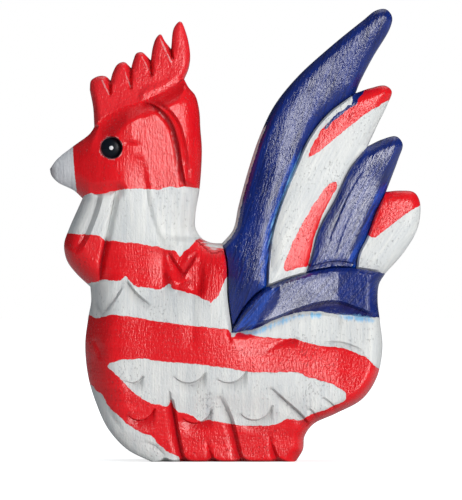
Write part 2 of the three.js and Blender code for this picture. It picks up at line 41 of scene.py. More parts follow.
print("stage: frame loaded,", len(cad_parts), "nodes")


def placed(name, data):
    thing = bpy.data.objects.new(name, data)
    bpy.context.scene.collection.objects.link(thing)
    return thing


# Places are (back, up) in millimetres: x runs to the tail, z runs up, y runs through the block.
# Points of the head are given from the eye, those of the tail from the root of its second feather.
eyeAt = (-29.8, 83.0)
tailAt = (11.3, 46.2)


def head(*points):
    return [(eyeAt[0] + x, eyeAt[1] + z) for x, z in points]


def tail(*points):
    return [(tailAt[0] + x, tailAt[1] + z) for x, z in points]


def curve(points, step=0.5, spans=24):
    # a centripetal spline through the points, in even steps
    pts = np.array(points, float)
    ends = np.vstack([2 * pts[0] - pts[1], pts, 2 * pts[-1] - pts[-2]])
    fine = []
    for i in range(len(pts) - 1):
        p0, p1, p2, p3 = ends[i:i + 4]
        d0, d1, d2 = (math.sqrt(math.dist(a, b)) for a, b in ((p0, p1), (p1, p2), (p2, p3)))
        m1 = ((p1 - p0) / d0 - (p2 - p0) / (d0 + d1) + (p2 - p1) / d1) * d1
        m2 = ((p2 - p1) / d1 - (p3 - p1) / (d1 + d2) + (p3 - p2) / d2) * d1
        t = np.linspace(0, 1, spans, endpoint=False)[:, None]
        fine.append(p1 + m1 * t + (3 * (p2 - p1) - 2 * m1 - m2) * t ** 2
                    + (2 * (p1 - p2) + m1 + m2) * t ** 3)
    fine = np.vstack(fine + [pts[-1:]])
    walked = np.concatenate([[0], np.cumsum(np.hypot(*np.diff(fine, axis=0).T))])
    even = np.linspace(0, walked[-1], max(2, round(walked[-1] / step)) + 1)
    return np.column_stack([np.interp(even, walked, fine[:, k]) for k in (0, 1)])


def arc(a, b, c, count=12):
    # a round stroke of the gouge through three points
    a, b, c = (np.array(p, float) for p in (a, b, c))
    sides = np.array([b - a, c - a]) * 2
    centre = np.linalg.solve(sides, [b @ b - a @ a, c @ c - a @ a])
    start, middle, end = (math.atan2(*(p - centre)[::-1]) for p in (a, b, c))
    turn = (end - start) % (2 * math.pi)
    if (middle - start) % (2 * math.pi) > turn:
        turn -= 2 * math.pi
    angles = start + turn * np.linspace(0, 1, count)
    return centre + math.dist(a, centre) * np.column_stack([np.cos(angles), np.sin(angles)])


# Corners where pieces meet
jawCorner, throatTop, crownFront, crownBack, beakTip = head(
    (-7.8, -13.3), (1.3, -11.4), (-4.7, 5.7), (19.2, 18.4), (-16.5, -5.5))
wattleToe = (-35.5, 46.2)
wattleHeel = (-32.7, 48.3)
saddleEnd, rootTip, tailRoot, sickleTip = tail((-11.8, 11.6), (-9.2, -11.7), (0, 0), (33.4, 71.8))
fork12, fork23, fork34 = tail((23.7, 51.5), (26.9, 37.4), (31.8, 25.3))
foot23, foot34, bandCorner = tail((10.4, 3.6), (23.8, 4.9), (31.5, 3.5))
baseBack = (19.2, 0.0)
baseFront = (-19.2, 0.0)

# Edges of the pieces; two neighbours share a line
lines = {
    "beak": curve([beakTip, *head((-14.6, -2.9), (-10.4, 0.5), (-5.9, 3.9)), crownFront]),
    "crown": curve([crownFront, *head((-2.4, 8.2), (0.3, 9.8), (4.3, 11.4), (8.2, 12.6),
                                      (12.8, 14.5), (16.8, 16.4)), crownBack]),
    "nape": curve([crownBack, *head((20.4, 16.2), (22.2, 14), (23.2, 10.2), (23.5, 5.5),
                                    (23.9, -0.4)),
                   (-6.5, 72.5), (-7.6, 65.6), (-7.6, 61.9), (-5.9, 59.1),
                   *tail((-14.5, 11.7)), saddleEnd]),
    "rootFront": curve([saddleEnd, *tail((-10.7, 6.1), (-10.4, -2.4)), rootTip]),
    "rootBack": curve([rootTip, *tail((-6.1, -6), (-3.1, -2.4)), tailRoot]),
    "bandSecond": curve([tailRoot, *tail((4.9, 2)), foot23]),
    "bandThird": curve([foot23, *tail((14.2, 4.5), (19, 5.1)), foot34]),
    "bandRear": curve([foot34, *tail((27.8, 4.3)), bandCorner]),
    "rump": curve([bandCorner, *tail((29.9, 0.8)), (40.8, 42.7), (41.6, 35.8), (42.1, 30.2),
                   (40.6, 22.2), (36.7, 16.4), (29.8, 12.6), (23.7, 9.7), (21.4, 6.5), (21, 3.1),
                   baseBack]),
    "base": curve([baseBack, baseFront]),
    "breast": curve([baseFront, (-25.5, 3.3), (-30.7, 8.9), (-33.9, 15.6), (-36.1, 22.7),
                     (-36.9, 30.7), (-36.1, 37.9), (-35.3, 42.4), wattleToe]),
    "wattleFoot": curve([wattleToe, (-33.8, 47.1), wattleHeel]),
    "throat": curve([wattleHeel, (-32.5, 52), (-31.3, 58.1), *head((0.1, -17.2)), throatTop]),
    "jaw": curve([throatTop, *head((-2.4, -12.1), (-5.3, -12.4)), jawCorner]),
    "chin": curve([jawCorner, *head((-10.1, -11.2), (-14.4, -9), (-16.1, -7.1)), beakTip]),
    "wattleFront": curve([jawCorner, *head((-9.3, -16.6)), (-41.2, 61.6), (-42.5, 57.6),
                          (-41.8, 53.3), (-39.4, 49.9), wattleToe]),
    "sickle": curve([saddleEnd, *tail((-8.9, 15.2), (-7.5, 21.3), (-4.9, 30.9), (-2, 39.6),
                                      (1.9, 47.9), (8.1, 55.7), (17.2, 64), (25.7, 70.9),
                                      (29.1, 73.5), (31.8, 73.8)),
                     sickleTip, *tail((32.9, 68.9), (28.1, 60.7), (24.9, 54.5)), fork12]),
    "seam12": curve([fork12, *tail((16.4, 46), (11.3, 39.6), (8, 32.5), (3.9, 22.6), (1.3, 13.8),
                                   (0.4, 6.7)), tailRoot]),
    "second": curve([fork12, *tail((27.5, 52.8), (31.5, 53.5), (33.3, 52), (32.1, 48.4),
                                   (29.4, 42.8)), fork23]),
    "seam23": curve([fork23, *tail((22, 31.4), (18, 23.1), (13.7, 15.2), (11.8, 8)), foot23]),
    "third": curve([fork23, *tail((30.7, 39.2), (34.5, 40), (36.2, 38), (35, 33.8), (33.1, 28.7)),
                    fork34]),
    "seam34": curve([fork34, *tail((29.1, 19.7), (26.7, 13.3), (24.5, 8.8)), foot34]),
    "rear": curve([fork34, *tail((35.5, 25.6), (39.3, 25.1), (40.8, 22.4), (40.2, 15.7),
                                 (36.5, 9.2)), bandCorner]),
}
combPoints = [head(*spike) for spike in (
    ((-5.9, 15.6), (-5.6, 18), (-3.7, 19.2), (-1.7, 19.2), (-0.4, 18.1)),
    ((-0.4, 18.1), (0.3, 20.4), (1.5, 22.4), (3.3, 23), (4.4, 22.1), (5.1, 21.4)),
    ((5.1, 21.4), (5.7, 23.5), (6.5, 25.3), (8, 25.6), (9.3, 24.5), (10.3, 23.5)),
    ((10.3, 23.5), (10.9, 27.1), (11.7, 29.3), (12.9, 30.4), (14.1, 28.5), (15.7, 26.5)),
    ((15.7, 26.5), (16.5, 32.1), (18.2, 33.8), (19.8, 30.5), (20.8, 24.9), (20.4, 21.4)),
)]
combPoints[-1].append(crownBack)
lines["combFront"] = curve([crownFront, *head((-5, 10.8)), combPoints[0][0]])
spikes = ["spike%d" % i for i in range(len(combPoints))]
for spikeName, spikePoints in zip(spikes, combPoints):
    lines[spikeName] = curve(spikePoints)


def measure(line, at, reach):
    # distance from a line up to reach, positive on its left, and how far along it the foot lies
    off = np.full(len(at), float(reach))
    side = np.ones(len(at))
    along = np.zeros(len(at))
    low, high = line.min(0) - reach, line.max(0) + reach
    near = np.flatnonzero(np.all((at > low) & (at < high), axis=1))
    p = at[near]
    best, left, foot = off[near], side[near], along[near]
    walked = 0.0
    for a, b in zip(line[:-1], line[1:]):
        d = b - a
        length = math.hypot(*d)
        r = p - a
        t = np.clip(r @ d / length ** 2, 0, 1)
        dist = np.hypot(r[:, 0] - t * d[0], r[:, 1] - t * d[1])
        closer = dist < best
        best = np.where(closer, dist, best)
        left = np.where(closer, np.sign(d[0] * r[:, 1] - d[1] * r[:, 0]), left)
        foot = np.where(closer, walked + t * length, foot)
        walked += length
    off[near], side[near], along[near] = best, left, foot
    return off, side, along, walked


def isInside(ring, at):
    inside = np.zeros(len(at), bool)
    x, z = at.T
    for (ax, az), (bx, bz) in zip(ring, np.roll(ring, -1, axis=0)):
        if az != bz:
            crosses = ((az > z) != (bz > z)) & (x < ax + (bx - ax) * (z - az) / (bz - az))
            inside ^= crosses
    return inside


def zone(points, at, reach=4.0, step=0.6):
    # how deep each place lies inside a painted area, negative outside it
    ring = curve([*points, points[0]], step)
    off = measure(ring, at, reach)[0]
    return np.where(isInside(ring[:-1], at), off, -off)


def smooth(t):
    t = np.clip(t, 0, 1)
    return t * t * (3 - 2 * t)


def shoulder(t):
    t = np.clip(t, 0, 1)
    return np.sqrt(1 - (1 - t) ** 2)


def straight(t):
    return np.clip(t, 0, 1)


# Knife work: a cut has a line, a depth and how far each of its walls runs out, left and right of
# the line's direction; an open end rises out of the wood over its fade. A wedge also narrows
# where it rises, and a stop ends the cut at an upright wall
knife = {"step": 0.35, "broad": 1.5, "bend": 1.7, "stopRun": 0.5}


def cut(points, depth, left, right, fade=(3.0, 3.0), wedge=False, stop=None):
    return {"line": curve(points, knife["step"]), "depth": depth, "left": left, "right": right,
            "fade": fade, "wedge": wedge, "stop": stop}


def carveCuts(cuts, at):
    deepest = np.zeros(len(at))
    for c in cuts:
        off, side, along, length = measure(c["line"], at, max(c["left"], c["right"]))
        width = np.where(side > 0, c["left"], c["right"])
        rise = np.ones(len(at))
        for fade, gone in zip(c["fade"], (along, length - along)):
            if fade:
                share = np.clip(gone / fade, 0, 1)
                rise = np.minimum(rise, share if c["wedge"] else np.sqrt(share))
        if c["wedge"]:
            width = np.maximum(width * rise, 0.05)
        if c["stop"] is not None:
            rise = rise * np.clip((c["stop"] - at[:, 0]) / knife["stopRun"], 0, 1)
        wall = np.clip(1 - off / width, 0, 1)
        wall = np.where(width > knife["broad"], wall ** knife["bend"], wall)  # broad walls are hollow
        deepest = np.maximum(deepest, c["depth"] * rise * wall)
    return deepest


def facet(points, lean, lift, soft=0.8, lay=0.0):
    # a flat of the knife: its outline, and how far it leans towards the tail and upwards, in
    # degrees; it is cut into the wood at lay 0, and all of it stands on the wood at lay 1
    return {"points": points, "soft": soft, "lay": lay,
            "slope": (math.tan(math.radians(lean)), math.tan(math.radians(lift)))}


def cutFacets(facets, at, half):
    for f in facets:
        deep = zone(f["points"], at, f["soft"] * 2)
        plane = -at @ np.array(f["slope"])
        inner = deep > 0
        if inner.any():
            plane += np.quantile((half - plane)[inner], f["lay"])
            share = smooth((deep + f["soft"]) / (2 * f["soft"]))
            half = half + (plane - half) * share
    return half


def ridge(points, slope, soft=0.5):
    # the wood falls away on the tail side of this line, which runs downwards
    return {"line": curve(points, 0.5), "slope": slope, "soft": soft}


def cutRidges(ridges, at, half):
    for r in ridges:
        off, side, _, _ = measure(r["line"], at, 30.0)
        past = np.where(side > 0, off, 0)
        half = half - r["slope"] * (np.hypot(past, r["soft"]) - r["soft"])
    return half


def scoops(at, shift, seed, size, stretch, depth):
    # shallow knife marks: distance to the nearest of many scattered places, squared
    rng = np.random.default_rng(seed + shift)
    low, high = at.min(0) - 3 * size, at.max(0) + 3 * size
    scale = np.array(stretch) * size
    counts = np.ceil((high - low) / scale).astype(int) + 1
    jitter = rng.uniform(0.1, 0.9, (*counts, 2))
    lift = rng.uniform(-0.5, 0.5, tuple(counts)) * 0.3
    within = (at - low) / scale
    best = np.full(len(at), 9.0)
    for i in (-1, 0, 1):
        for j in (-1, 0, 1):
            cell = np.clip(np.floor(within).astype(int) + (i, j), 0, counts - 1)
            spot = cell + jitter[tuple(cell.T)]
            best = np.minimum(best, ((within - spot) ** 2).sum(1) + lift[tuple(cell.T)])
    return (np.clip(best, -0.2, 1.2) - 0.35) * depth


def waves(at, shift, seed, size, depth):
    # slow unevenness, a sum of a few slanted waves
    rng = np.random.default_rng(seed + shift)
    total = np.zeros(len(at))
    count = 7
    for _ in range(count):
        angle, phase, stretch = rng.uniform((0, 0, 0.7), (2 * math.pi, 6.3, 1.5))
        direction = np.array([math.cos(angle), math.sin(angle)]) * 2 * math.pi / (size * stretch)
        total += np.sin(at @ direction + phase)
    return total / count * depth


def edged(full, at, edges):
    # each edge lowers the face towards its own rim, over its own run
    half = full.copy()
    for name, rim, reach, shape in edges:
        off = measure(lines[name], at, reach)[0]
        low = np.minimum(rim(full) if callable(rim) else rim, full * 0.85)
        half = np.minimum(half, np.where(off < reach, low + (full - low) * shape(off / reach), full))
    return half


# Turning an outline and a thickness into wood with a carved face on both sides. The net of
# points is given in millimetres, or as shares of its spacing
net = {"spacing": 0.5, "rimRows": (0.07, 0.24, 0.5), "wallReach": 1.5, "free": 0.3, "onCuts": 0.3,
       "onRounds": 0.15, "lattice": 0.62, "wallRow": 1.2, "crisp": 42}


def outlineOf(runs):
    # the pieces' shared lines joined to a ring; a minus sign takes one backwards
    ring = []
    for name in runs:
        line = lines[name.lstrip("-")]
        ring.append((line[::-1] if name.startswith("-") else line)[:-1])
    ring = np.vstack(ring)
    x, z = ring.T
    area = np.sum(x * np.roll(z, -1) - np.roll(x, -1) * z)
    return ring if area > 0 else ring[::-1]


def closed(ring):
    return np.vstack([ring, ring[:1]])


def inland(at, ring, run):
    # 0 on the outline, rising to 1 this far inside it
    return smooth(measure(closed(ring), at, run)[0] / run)


def sideways(way):
    # one step to the left of each step of a line
    return np.column_stack([-way[:, 1], way[:, 0]]) / np.hypot(*way.T)[:, None]


def spread(ring, cuts, spacing, rounds):
    # points of a face: the outline, rows beside it, the cuts with their walls, then a lattice
    taken = {}
    kept = []

    def add(points, apart):
        for x, z in points:
            i, j = int(x // spacing), int(z // spacing)
            clear = all((x - a) ** 2 + (z - b) ** 2 >= apart * apart
                        for di in (-1, 0, 1) for dj in (-1, 0, 1)
                        for a, b in taken.get((i + di, j + dj), ()))
            if clear:
                taken.setdefault((i, j), []).append((x, z))
                kept.append((x, z))

    def addInside(row, clear, apart):
        good = isInside(ring, row) & (measure(closed(ring), row, 1.5)[0] > clear)
        add(row[good], apart)

    add(ring, 0.0)
    inward = sideways(np.roll(ring, -1, axis=0) - np.roll(ring, 1, axis=0))
    for depth in net["rimRows"]:
        addInside(ring + inward * depth, depth * 0.92, depth * 0.5)
    for c in cuts:
        aside = sideways(np.gradient(c["line"], axis=0))
        walls = [wall for wall in (c["left"], -c["right"]) if abs(wall) < net["wallReach"]]
        for wall in (0, *walls):
            addInside(c["line"] + aside * wall, net["free"], net["onCuts"] * spacing)
    for row in rounds:
        add(row, net["onRounds"] * spacing)
    low, high = ring.min(0), ring.max(0)
    for i, z in enumerate(np.arange(low[1], high[1], spacing * math.sqrt(3) / 2)):
        x = np.arange(low[0] + (i % 2) * spacing / 2, high[0], spacing)
        addInside(np.column_stack([x, np.full(len(x), z)]), net["rimRows"][-1] + spacing * 0.45,
                  net["lattice"] * spacing)
    return kept


def carve(name, runs, cuts, half, paint, spacing=net["spacing"], lip=None, rounds=()):
    ring = outlineOf(runs)
    count = len(ring)
    kept = spread(ring, cuts, spacing, rounds)
    verts, _, faces, origins, _, _ = delaunay_2d_cdt(
        [Vector(p) for p in kept], [], [list(range(count))], 1, 1e-7)
    at = np.array([(v.x, v.y) for v in verts])
    place = {source: i for i, sources in enumerate(origins) for source in sources}
    rim = [place[i] for i in range(count)]
    total = len(at)
    halves = [half(at, side) for side in (-1, 1)]
    coords = [np.column_stack([at[:, 0], side * h, at[:, 1]]) for side, h in zip((-1, 1), halves)]
    polygons = []
    for a, b, c in faces:
        turn = ((at[b][0] - at[a][0]) * (at[c][1] - at[a][1])
                - (at[b][1] - at[a][1]) * (at[c][0] - at[a][0]))
        if turn < 0:
            b, c = c, b
        polygons.append((a, b, c))
        polygons.append((total + a, total + c, total + b))
    # the wall between the faces, in even rows
    front = halves[0][rim]
    thick = front + halves[1][rim]
    rows = max(2, round(float(np.max(thick)) / net["wallRow"]))
    previous = rim
    for r in range(1, rows + 1):
        if r < rows:
            current = [2 * total + (r - 1) * count + i for i in range(count)]
            coords.append(np.column_stack([at[rim][:, 0], thick * r / rows - front, at[rim][:, 1]]))
        else:
            current = [total + i for i in rim]
        for i in range(count):
            j = (i + 1) % count
            polygons.append((previous[i], current[i], current[j], previous[j]))
        previous = current
    coords = np.vstack(coords)
    if lip:
        coords = lip(coords)
    mesh = bpy.data.meshes.new(name)
    mesh.from_pydata([tuple(c) for c in coords * mm], [], polygons)
    mesh.validate()
    places = coords[:, [0, 2]]
    for layer, values in paint(places, coords).items():
        attribute = mesh.attributes.new(layer, "FLOAT", "POINT")
        attribute.data.foreach_set("value", np.asarray(values, np.float32))
    mesh.polygons.foreach_set("use_smooth", [True] * len(mesh.polygons))
    mesh.set_sharp_from_angle(angle=math.radians(net["crisp"]))
    print("stage: carved", name, len(mesh.polygons), "faces")
    return placed(name, mesh)


# Shader maths: a signal is one value in a material, and arithmetic on it adds Math nodes
class Signal:
    def __init__(self, shader, socket):
        self.shader = shader
        self.socket = socket

    def math(self, operation, *others, clamp=False):
        settings = {"operation": operation, "use_clamp": clamp}
        return self.shader.node("ShaderNodeMath", settings, [self, *others])

    def __add__(self, other):
        return self.math("ADD", other)

    def __sub__(self, other):
        return self.math("SUBTRACT", other)

    def __rsub__(self, other):
        return (self * -1) + other

    def __mul__(self, other):
        return self.math("MULTIPLY", other)

    __radd__ = __add__

    def clamped(self):
        return self.math("ADD", 0.0, clamp=True)

    def between(self, low, high):
        # 0 below low, 1 above high
        return self.shader.node("ShaderNodeMapRange", {"interpolation_type": "SMOOTHSTEP"},
                                {"Value": self, "From Min": low, "From Max": high})

    def larger(self, other):
        return self.math("MAXIMUM", other)

    def smaller(self, other):
        return self.math("MINIMUM", other)


class Shader:
    def __init__(self, tree):
        self.tree = tree
        tree.nodes.clear()

    def node(self, kind, settings=None, sockets=None, output=0):
        made = self.tree.nodes.new(kind)
        for key, value in (settings or {}).items():
            setattr(made, key, value)
        for key, value in sockets.items() if isinstance(sockets, dict) else enumerate(sockets or []):
            target = self.find(made.inputs, key)
            if isinstance(value, Signal):
                self.tree.links.new(value.socket, target)
            else:
                target.default_value = value
        return Signal(self, self.find(made.outputs, output)) if made.outputs else made

    def find(self, sockets, key):
        # by place, by identifier or by name
        if isinstance(key, int):
            return sockets[key]
        return next((socket for socket in sockets if socket.identifier == key), None) or sockets[key]

    def surface(self, sockets):
        shader = self.node("ShaderNodeBsdfPrincipled", None, sockets)
        self.node("ShaderNodeOutputMaterial", None, {"Surface": shader})

    def attribute(self, name):
        return self.node("ShaderNodeAttribute", {"attribute_name": name}, output="Fac")

    def mixColor(self, factor, a, b):
        def rgba(c):
            return c if isinstance(c, Signal) else (*c, 1.0)
        return self.node("ShaderNodeMix", {"data_type": "RGBA"},
                         {"Factor_Float": factor, "A_Color": rgba(a), "B_Color": rgba(b)},
                         output="Result_Color")

    def place(self, scale, offset=(0, 0, 0)):
        # object coordinates in millimetres, stretched for a pattern
        coordinates = self.node("ShaderNodeTexCoord", output="Object")
        return self.node("ShaderNodeMapping", {"vector_type": "POINT"},
                         {"Vector": coordinates, "Scale": tuple(s * 1000 for s in scale),
                          "Location": offset})

    def vector(self, x, y, z):
        return self.node("ShaderNodeCombineXYZ", None, {"X": x, "Y": y, "Z": z})

    def noise(self, vector, detail=2.0, roughness=0.5, scale=1.0, distortion=0.0):
        return self.node("ShaderNodeTexNoise", None,
                         {"Vector": vector, "Scale": scale, "Detail": detail,
                          "Roughness": roughness, "Distortion": distortion}, output="Fac")


def newMaterial(name):
    material = bpy.data.materials.new(name)
    material.use_nodes = True
    return material, Shader(material.node_tree)


# Paints, each from its thin to its thick colour
paints = {
    "white": {"thin": (0.57, 0.60, 0.62), "full": (0.81, 0.815, 0.785), "rough": 0.5, "hairs": 0.9},
    "red": {"thin": (0.70, 0.003, 0.008), "full": (0.90, 0.007, 0.014), "rough": 0.24, "hairs": 0.6},
    "blue": {"thin": (0.004, 0.009, 0.075), "full": (0.007, 0.027, 0.22), "rough": 0.21, "hairs": 1.4},
    # bright blue: paint at the band's tip, and painted light on the feathers' strips that face the lamp
    "bright": {"thin": (0.003, 0.018, 0.16), "full": (0.004, 0.074, 0.50), "rough": 0.28, "hairs": 1.2},
    "pale": {"thin": (0.10, 0.36, 0.76), "full": (0.28, 0.60, 0.86), "rough": 0.4, "hairs": 1.5},
    "grey": {"thin": (0.68, 0.685, 0.72), "full": (0.92, 0.92, 0.94), "rough": 0.42, "hairs": 1.8},
    # pink for painted highlights, on the comb's bevels and round the eye's socket
    "pinkGlint": {"thin": (0.80, 0.16, 0.17), "full": (0.86, 0.34, 0.34), "rough": 0.3, "hairs": 0.6},
    # the same red made lighter and pinker, as painted light, for the comb
    "litRed": {"thin": (0.74, 0.010, 0.018), "full": (0.92, 0.026, 0.034), "rough": 0.26, "hairs": 0.7},
}
# what shows through them, painted shade for the hollows and the free edges, the bump's depth in metres,
# and the varnish
wood = {"pits": (0.68, 0.74), "pitDirt": (0.07, 0.04, 0.05), "hollowShade": (0.04, 0.012, 0.02),
        "edgeShadeAndGlint": (0.10, 0.10, 0.13), "deepest": 0.00007, "varnish": 0.9, "varnishRough": 0.18}


def paintedWood(name, ground, coats, tooth=1.0, shine=0.5, varnished=None):
    # coats are (layer, paint, dragged), from the first to the last one on
    material, s = newMaterial(name)
    # wood: pits where vessels are open, gathered in patches, and an upright grain
    patches = s.noise(s.place((0.12, 0.12, 0.07), (4, 7, 2)), detail=1.0)
    pits = s.noise(s.place((2.3, 2.3, 1.5)), detail=1.0, roughness=0.4)
    pits = (pits + (patches - 0.5) * 0.34).between(*wood["pits"])
    speckle = s.noise(s.place((3.4, 3.4, 1.7), (2, 3, 9)), detail=2.0, roughness=0.7)
    grain = s.noise(s.place((1.9, 1.9, 0.28), (3, 1, 7)), detail=3.0, roughness=0.6)
    grit = s.noise(s.place((2.0, 2.0, 1.1), (1, 6, 3)), detail=1.0, roughness=0.6)
    mottle = s.noise(s.place((0.35, 0.35, 0.35), (5, 2, 1)), detail=2.0)
    # brush strokes run with the stroke attributes
    along = s.attribute("along")
    across = s.attribute("across")
    hairs = s.noise(s.vector(along * 0.12, across * 1.7, 0.0), detail=3.0, roughness=0.7)
    sweep = s.noise(s.vector(along * 0.06, across * 0.4, 3.0), detail=2.0)
    ropes = s.noise(s.vector(along * 0.3, across * 1.5, 5.0), detail=3.0, roughness=0.6,
                    distortion=0.3)
    streak = s.attribute("streak")
    wobble = s.noise(s.place((0.45, 0.45, 0.45), (9, 4, 2)), detail=3.0, roughness=0.6)
    fringe = s.noise(s.place((1.6, 1.6, 1.6), (2, 8, 5)), detail=2.0)
    hollow = s.attribute("hollow")
    rim = s.attribute("rim")

    def tone(paint):
        share = ((hairs - 0.5) * 1.6 * paint["hairs"] + (sweep - 0.5) * 1.4 + 0.6).clamped()
        return s.mixColor(share, paint["thin"], paint["full"])

    color = tone(paints[ground])
    rough = paints[ground]["rough"]
    brushed = paints[ground]["hairs"]
    height = 0.0
    for layer, paintName, dragged in coats:
        paint = paints[paintName]
        depth = s.attribute(layer) + (wobble - 0.5) * 0.8 + (fringe - 0.5) * 0.35
        if dragged:
            # put on thinly, so it breaks up along the stroke
            cover = (depth.smaller(0.7) + (hairs - 0.5) * 4.0).between(-0.2, 1.0)
        else:
            cover = depth.between(-0.05, 0.07)
            bead = depth.between(-0.02, 0.06) * (1 - depth.between(0.1, 0.3))
            color = s.mixColor(bead * 0.25, color, paint["thin"])
            height = depth.between(-0.08, 0.12) * 0.4 + height
        color = s.mixColor(cover, color, tone(paint))
        rough = cover * (paint["rough"] - rough) + rough
        brushed = cover * (paint["hairs"] - brushed) + brushed
    # pits stay dark; hollows get painted shade, and the free edges patches of painted shade
    color = s.mixColor(pits * 0.2, color, wood["pitDirt"])
    color = s.mixColor((hollow * 0.5).clamped() * 0.55, color, wood["hollowShade"])
    # the free edges and walls get grey patches as painted shade
    color = s.mixColor(rim.between(0.35, 0.0) * mottle.between(0.35, 0.7) * 0.35, color,
                       wood["edgeShadeAndGlint"])
    rough = rough + pits * 0.3 + (mottle - 0.5) * 0.1 + (grit - 0.5) * 0.15
    height = (height + (1 - pits) * 1.4 + grain * 1.3 + grit * (1.0 * tooth)
              + speckle * (0.35 * tooth) + (hairs - 0.5) * brushed * 1.5 + ropes * streak * 4.5)
    # varnish is broken by the grain and by the brush
    varnish = {}
    if varnished:
        gloss = ((1 - pits) * (speckle.between(0.36, 0.6) * 0.6 + 0.4)
                 * (hairs.between(0.3, 0.6) * 0.4 + 0.6)
                 * s.attribute(varnished).between(-0.05, 0.3) * wood["varnish"])
        varnish = {"Coat Weight": gloss.clamped(), "Coat Roughness": wood["varnishRough"]}
    bump = s.node("ShaderNodeBump", None,
                  {"Strength": 1.0, "Distance": wood["deepest"], "Height": height})
    s.surface({"Base Color": color, "Roughness": rough.clamped(), "Normal": bump,
               "Specular IOR Level": shine, **varnish})
    return material


def dress(piece, material, body, slot, *nodes):
    piece.data.materials.append(material)
    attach(piece, body)
    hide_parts(*nodes)


def strokes(at, angle):
    cos, sin = math.cos(math.radians(angle)), math.sin(math.radians(angle))
    return {"along": at @ np.array([cos, sin]), "across": at @ np.array([-sin, cos])}


# Body: base, torso, neck, head with beak, and the saddle band, from one block
# Of the eye, ring is the width of a pale painted highlight round the edge of the bead, and the last
# entry the width of a pink painted highlight round its socket
eyeForm = {"radius": 2.95, "bulge": 0.95, "socket": 3.05, "sunk": 0.35, "spot": 0.64,
           "ring": 0.14, "black": (0.004, 0.007, 0.012), "edgeShadeAndGlint": (0.35, 0.30, 0.33),
           "white": ((0.72, 0.73, 0.75), (0.86, 0.87, 0.88)), "spotOut": 0.83, "socketGlint": 0.16}
eyeSeat = {}  # how far out the drilled socket ends on each side, known once the body is carved
combForm = {"width": 14.0, "tipWidth": 6.0, "rim": 1.1, "round": 1.9, "notch": 1.5,
            "rise": (11.0, 26.5), "lean": 0.1, "flare": 0.5, "flareReach": 4.2, "inland": 2.0,
            "marks": {"seed": 31, "size": 4.0, "stretch": (1, 2), "depth": 0.1}}
bodyForm = {
    "widths": [((3, 32), 33.0), ((0, 0), 27.0), ((-28, 24), 31.0), ((38, 28), 32.5),
               ((-18, 60), 24.0), (head((8, 0))[0], 23.0), (tailRoot, 31.0), ((38, 44), 31.0)],
    "blend": 13.0,
    "beakTipWidth": 4.5,
    "wattleWidth": 22.0,
    "inland": 2.5,
    "seams": {"root": (0.6, 0.8), "wattleFoot": (-0.8, 2.4), "jaw": (0.4, 3.0), "base": (0.5, 0.7)},
    "marks": {"seed": 11, "size": 7.0, "stretch": (1.0, 1.4), "depth": 0.16},
    "waves": {"seed": 5, "size": 16, "depth": 0.2},
    "rims": {"beak": (1.4, 5.0), "chin": (1.2, 5.0), "nape": (3.4, 6.0), "rump": (3.0, 3.4)},
    "breast": {"rim": 1.8, "run": 8.0, "below": 27, "growth": 0.5, "most": 9.5},
    "baseEdge": 13.0,
    "tailward": {"begins": -8.0, "steady": 7.0, "ends": 30.3, "fall": 0.18, "low": 0.35,
                 "from": 16.7, "over": 21.3},
    "crownReach": [(-36, 8.6), (-30, 7.6), (-25.5, 5.0), (-14, 4.4)],
}


def blockHalf(at):
    # the widths blended from place to place, and thinner along the beak
    total = np.zeros(len(at))
    weights = np.zeros(len(at))
    for place, width in bodyForm["widths"]:
        weight = np.exp(-((at - place) ** 2).sum(1) / bodyForm["blend"] ** 2)
        total += weight * width / 2
        weights += weight
    tip = bodyForm["beakTipWidth"] / 2
    root = head((4, 0))[0][0]
    share = np.clip((at[:, 0] - beakTip[0]) / (root - beakTip[0]), 0, 1)
    return tip + (total / weights - tip) * np.sin(share * math.pi / 2)


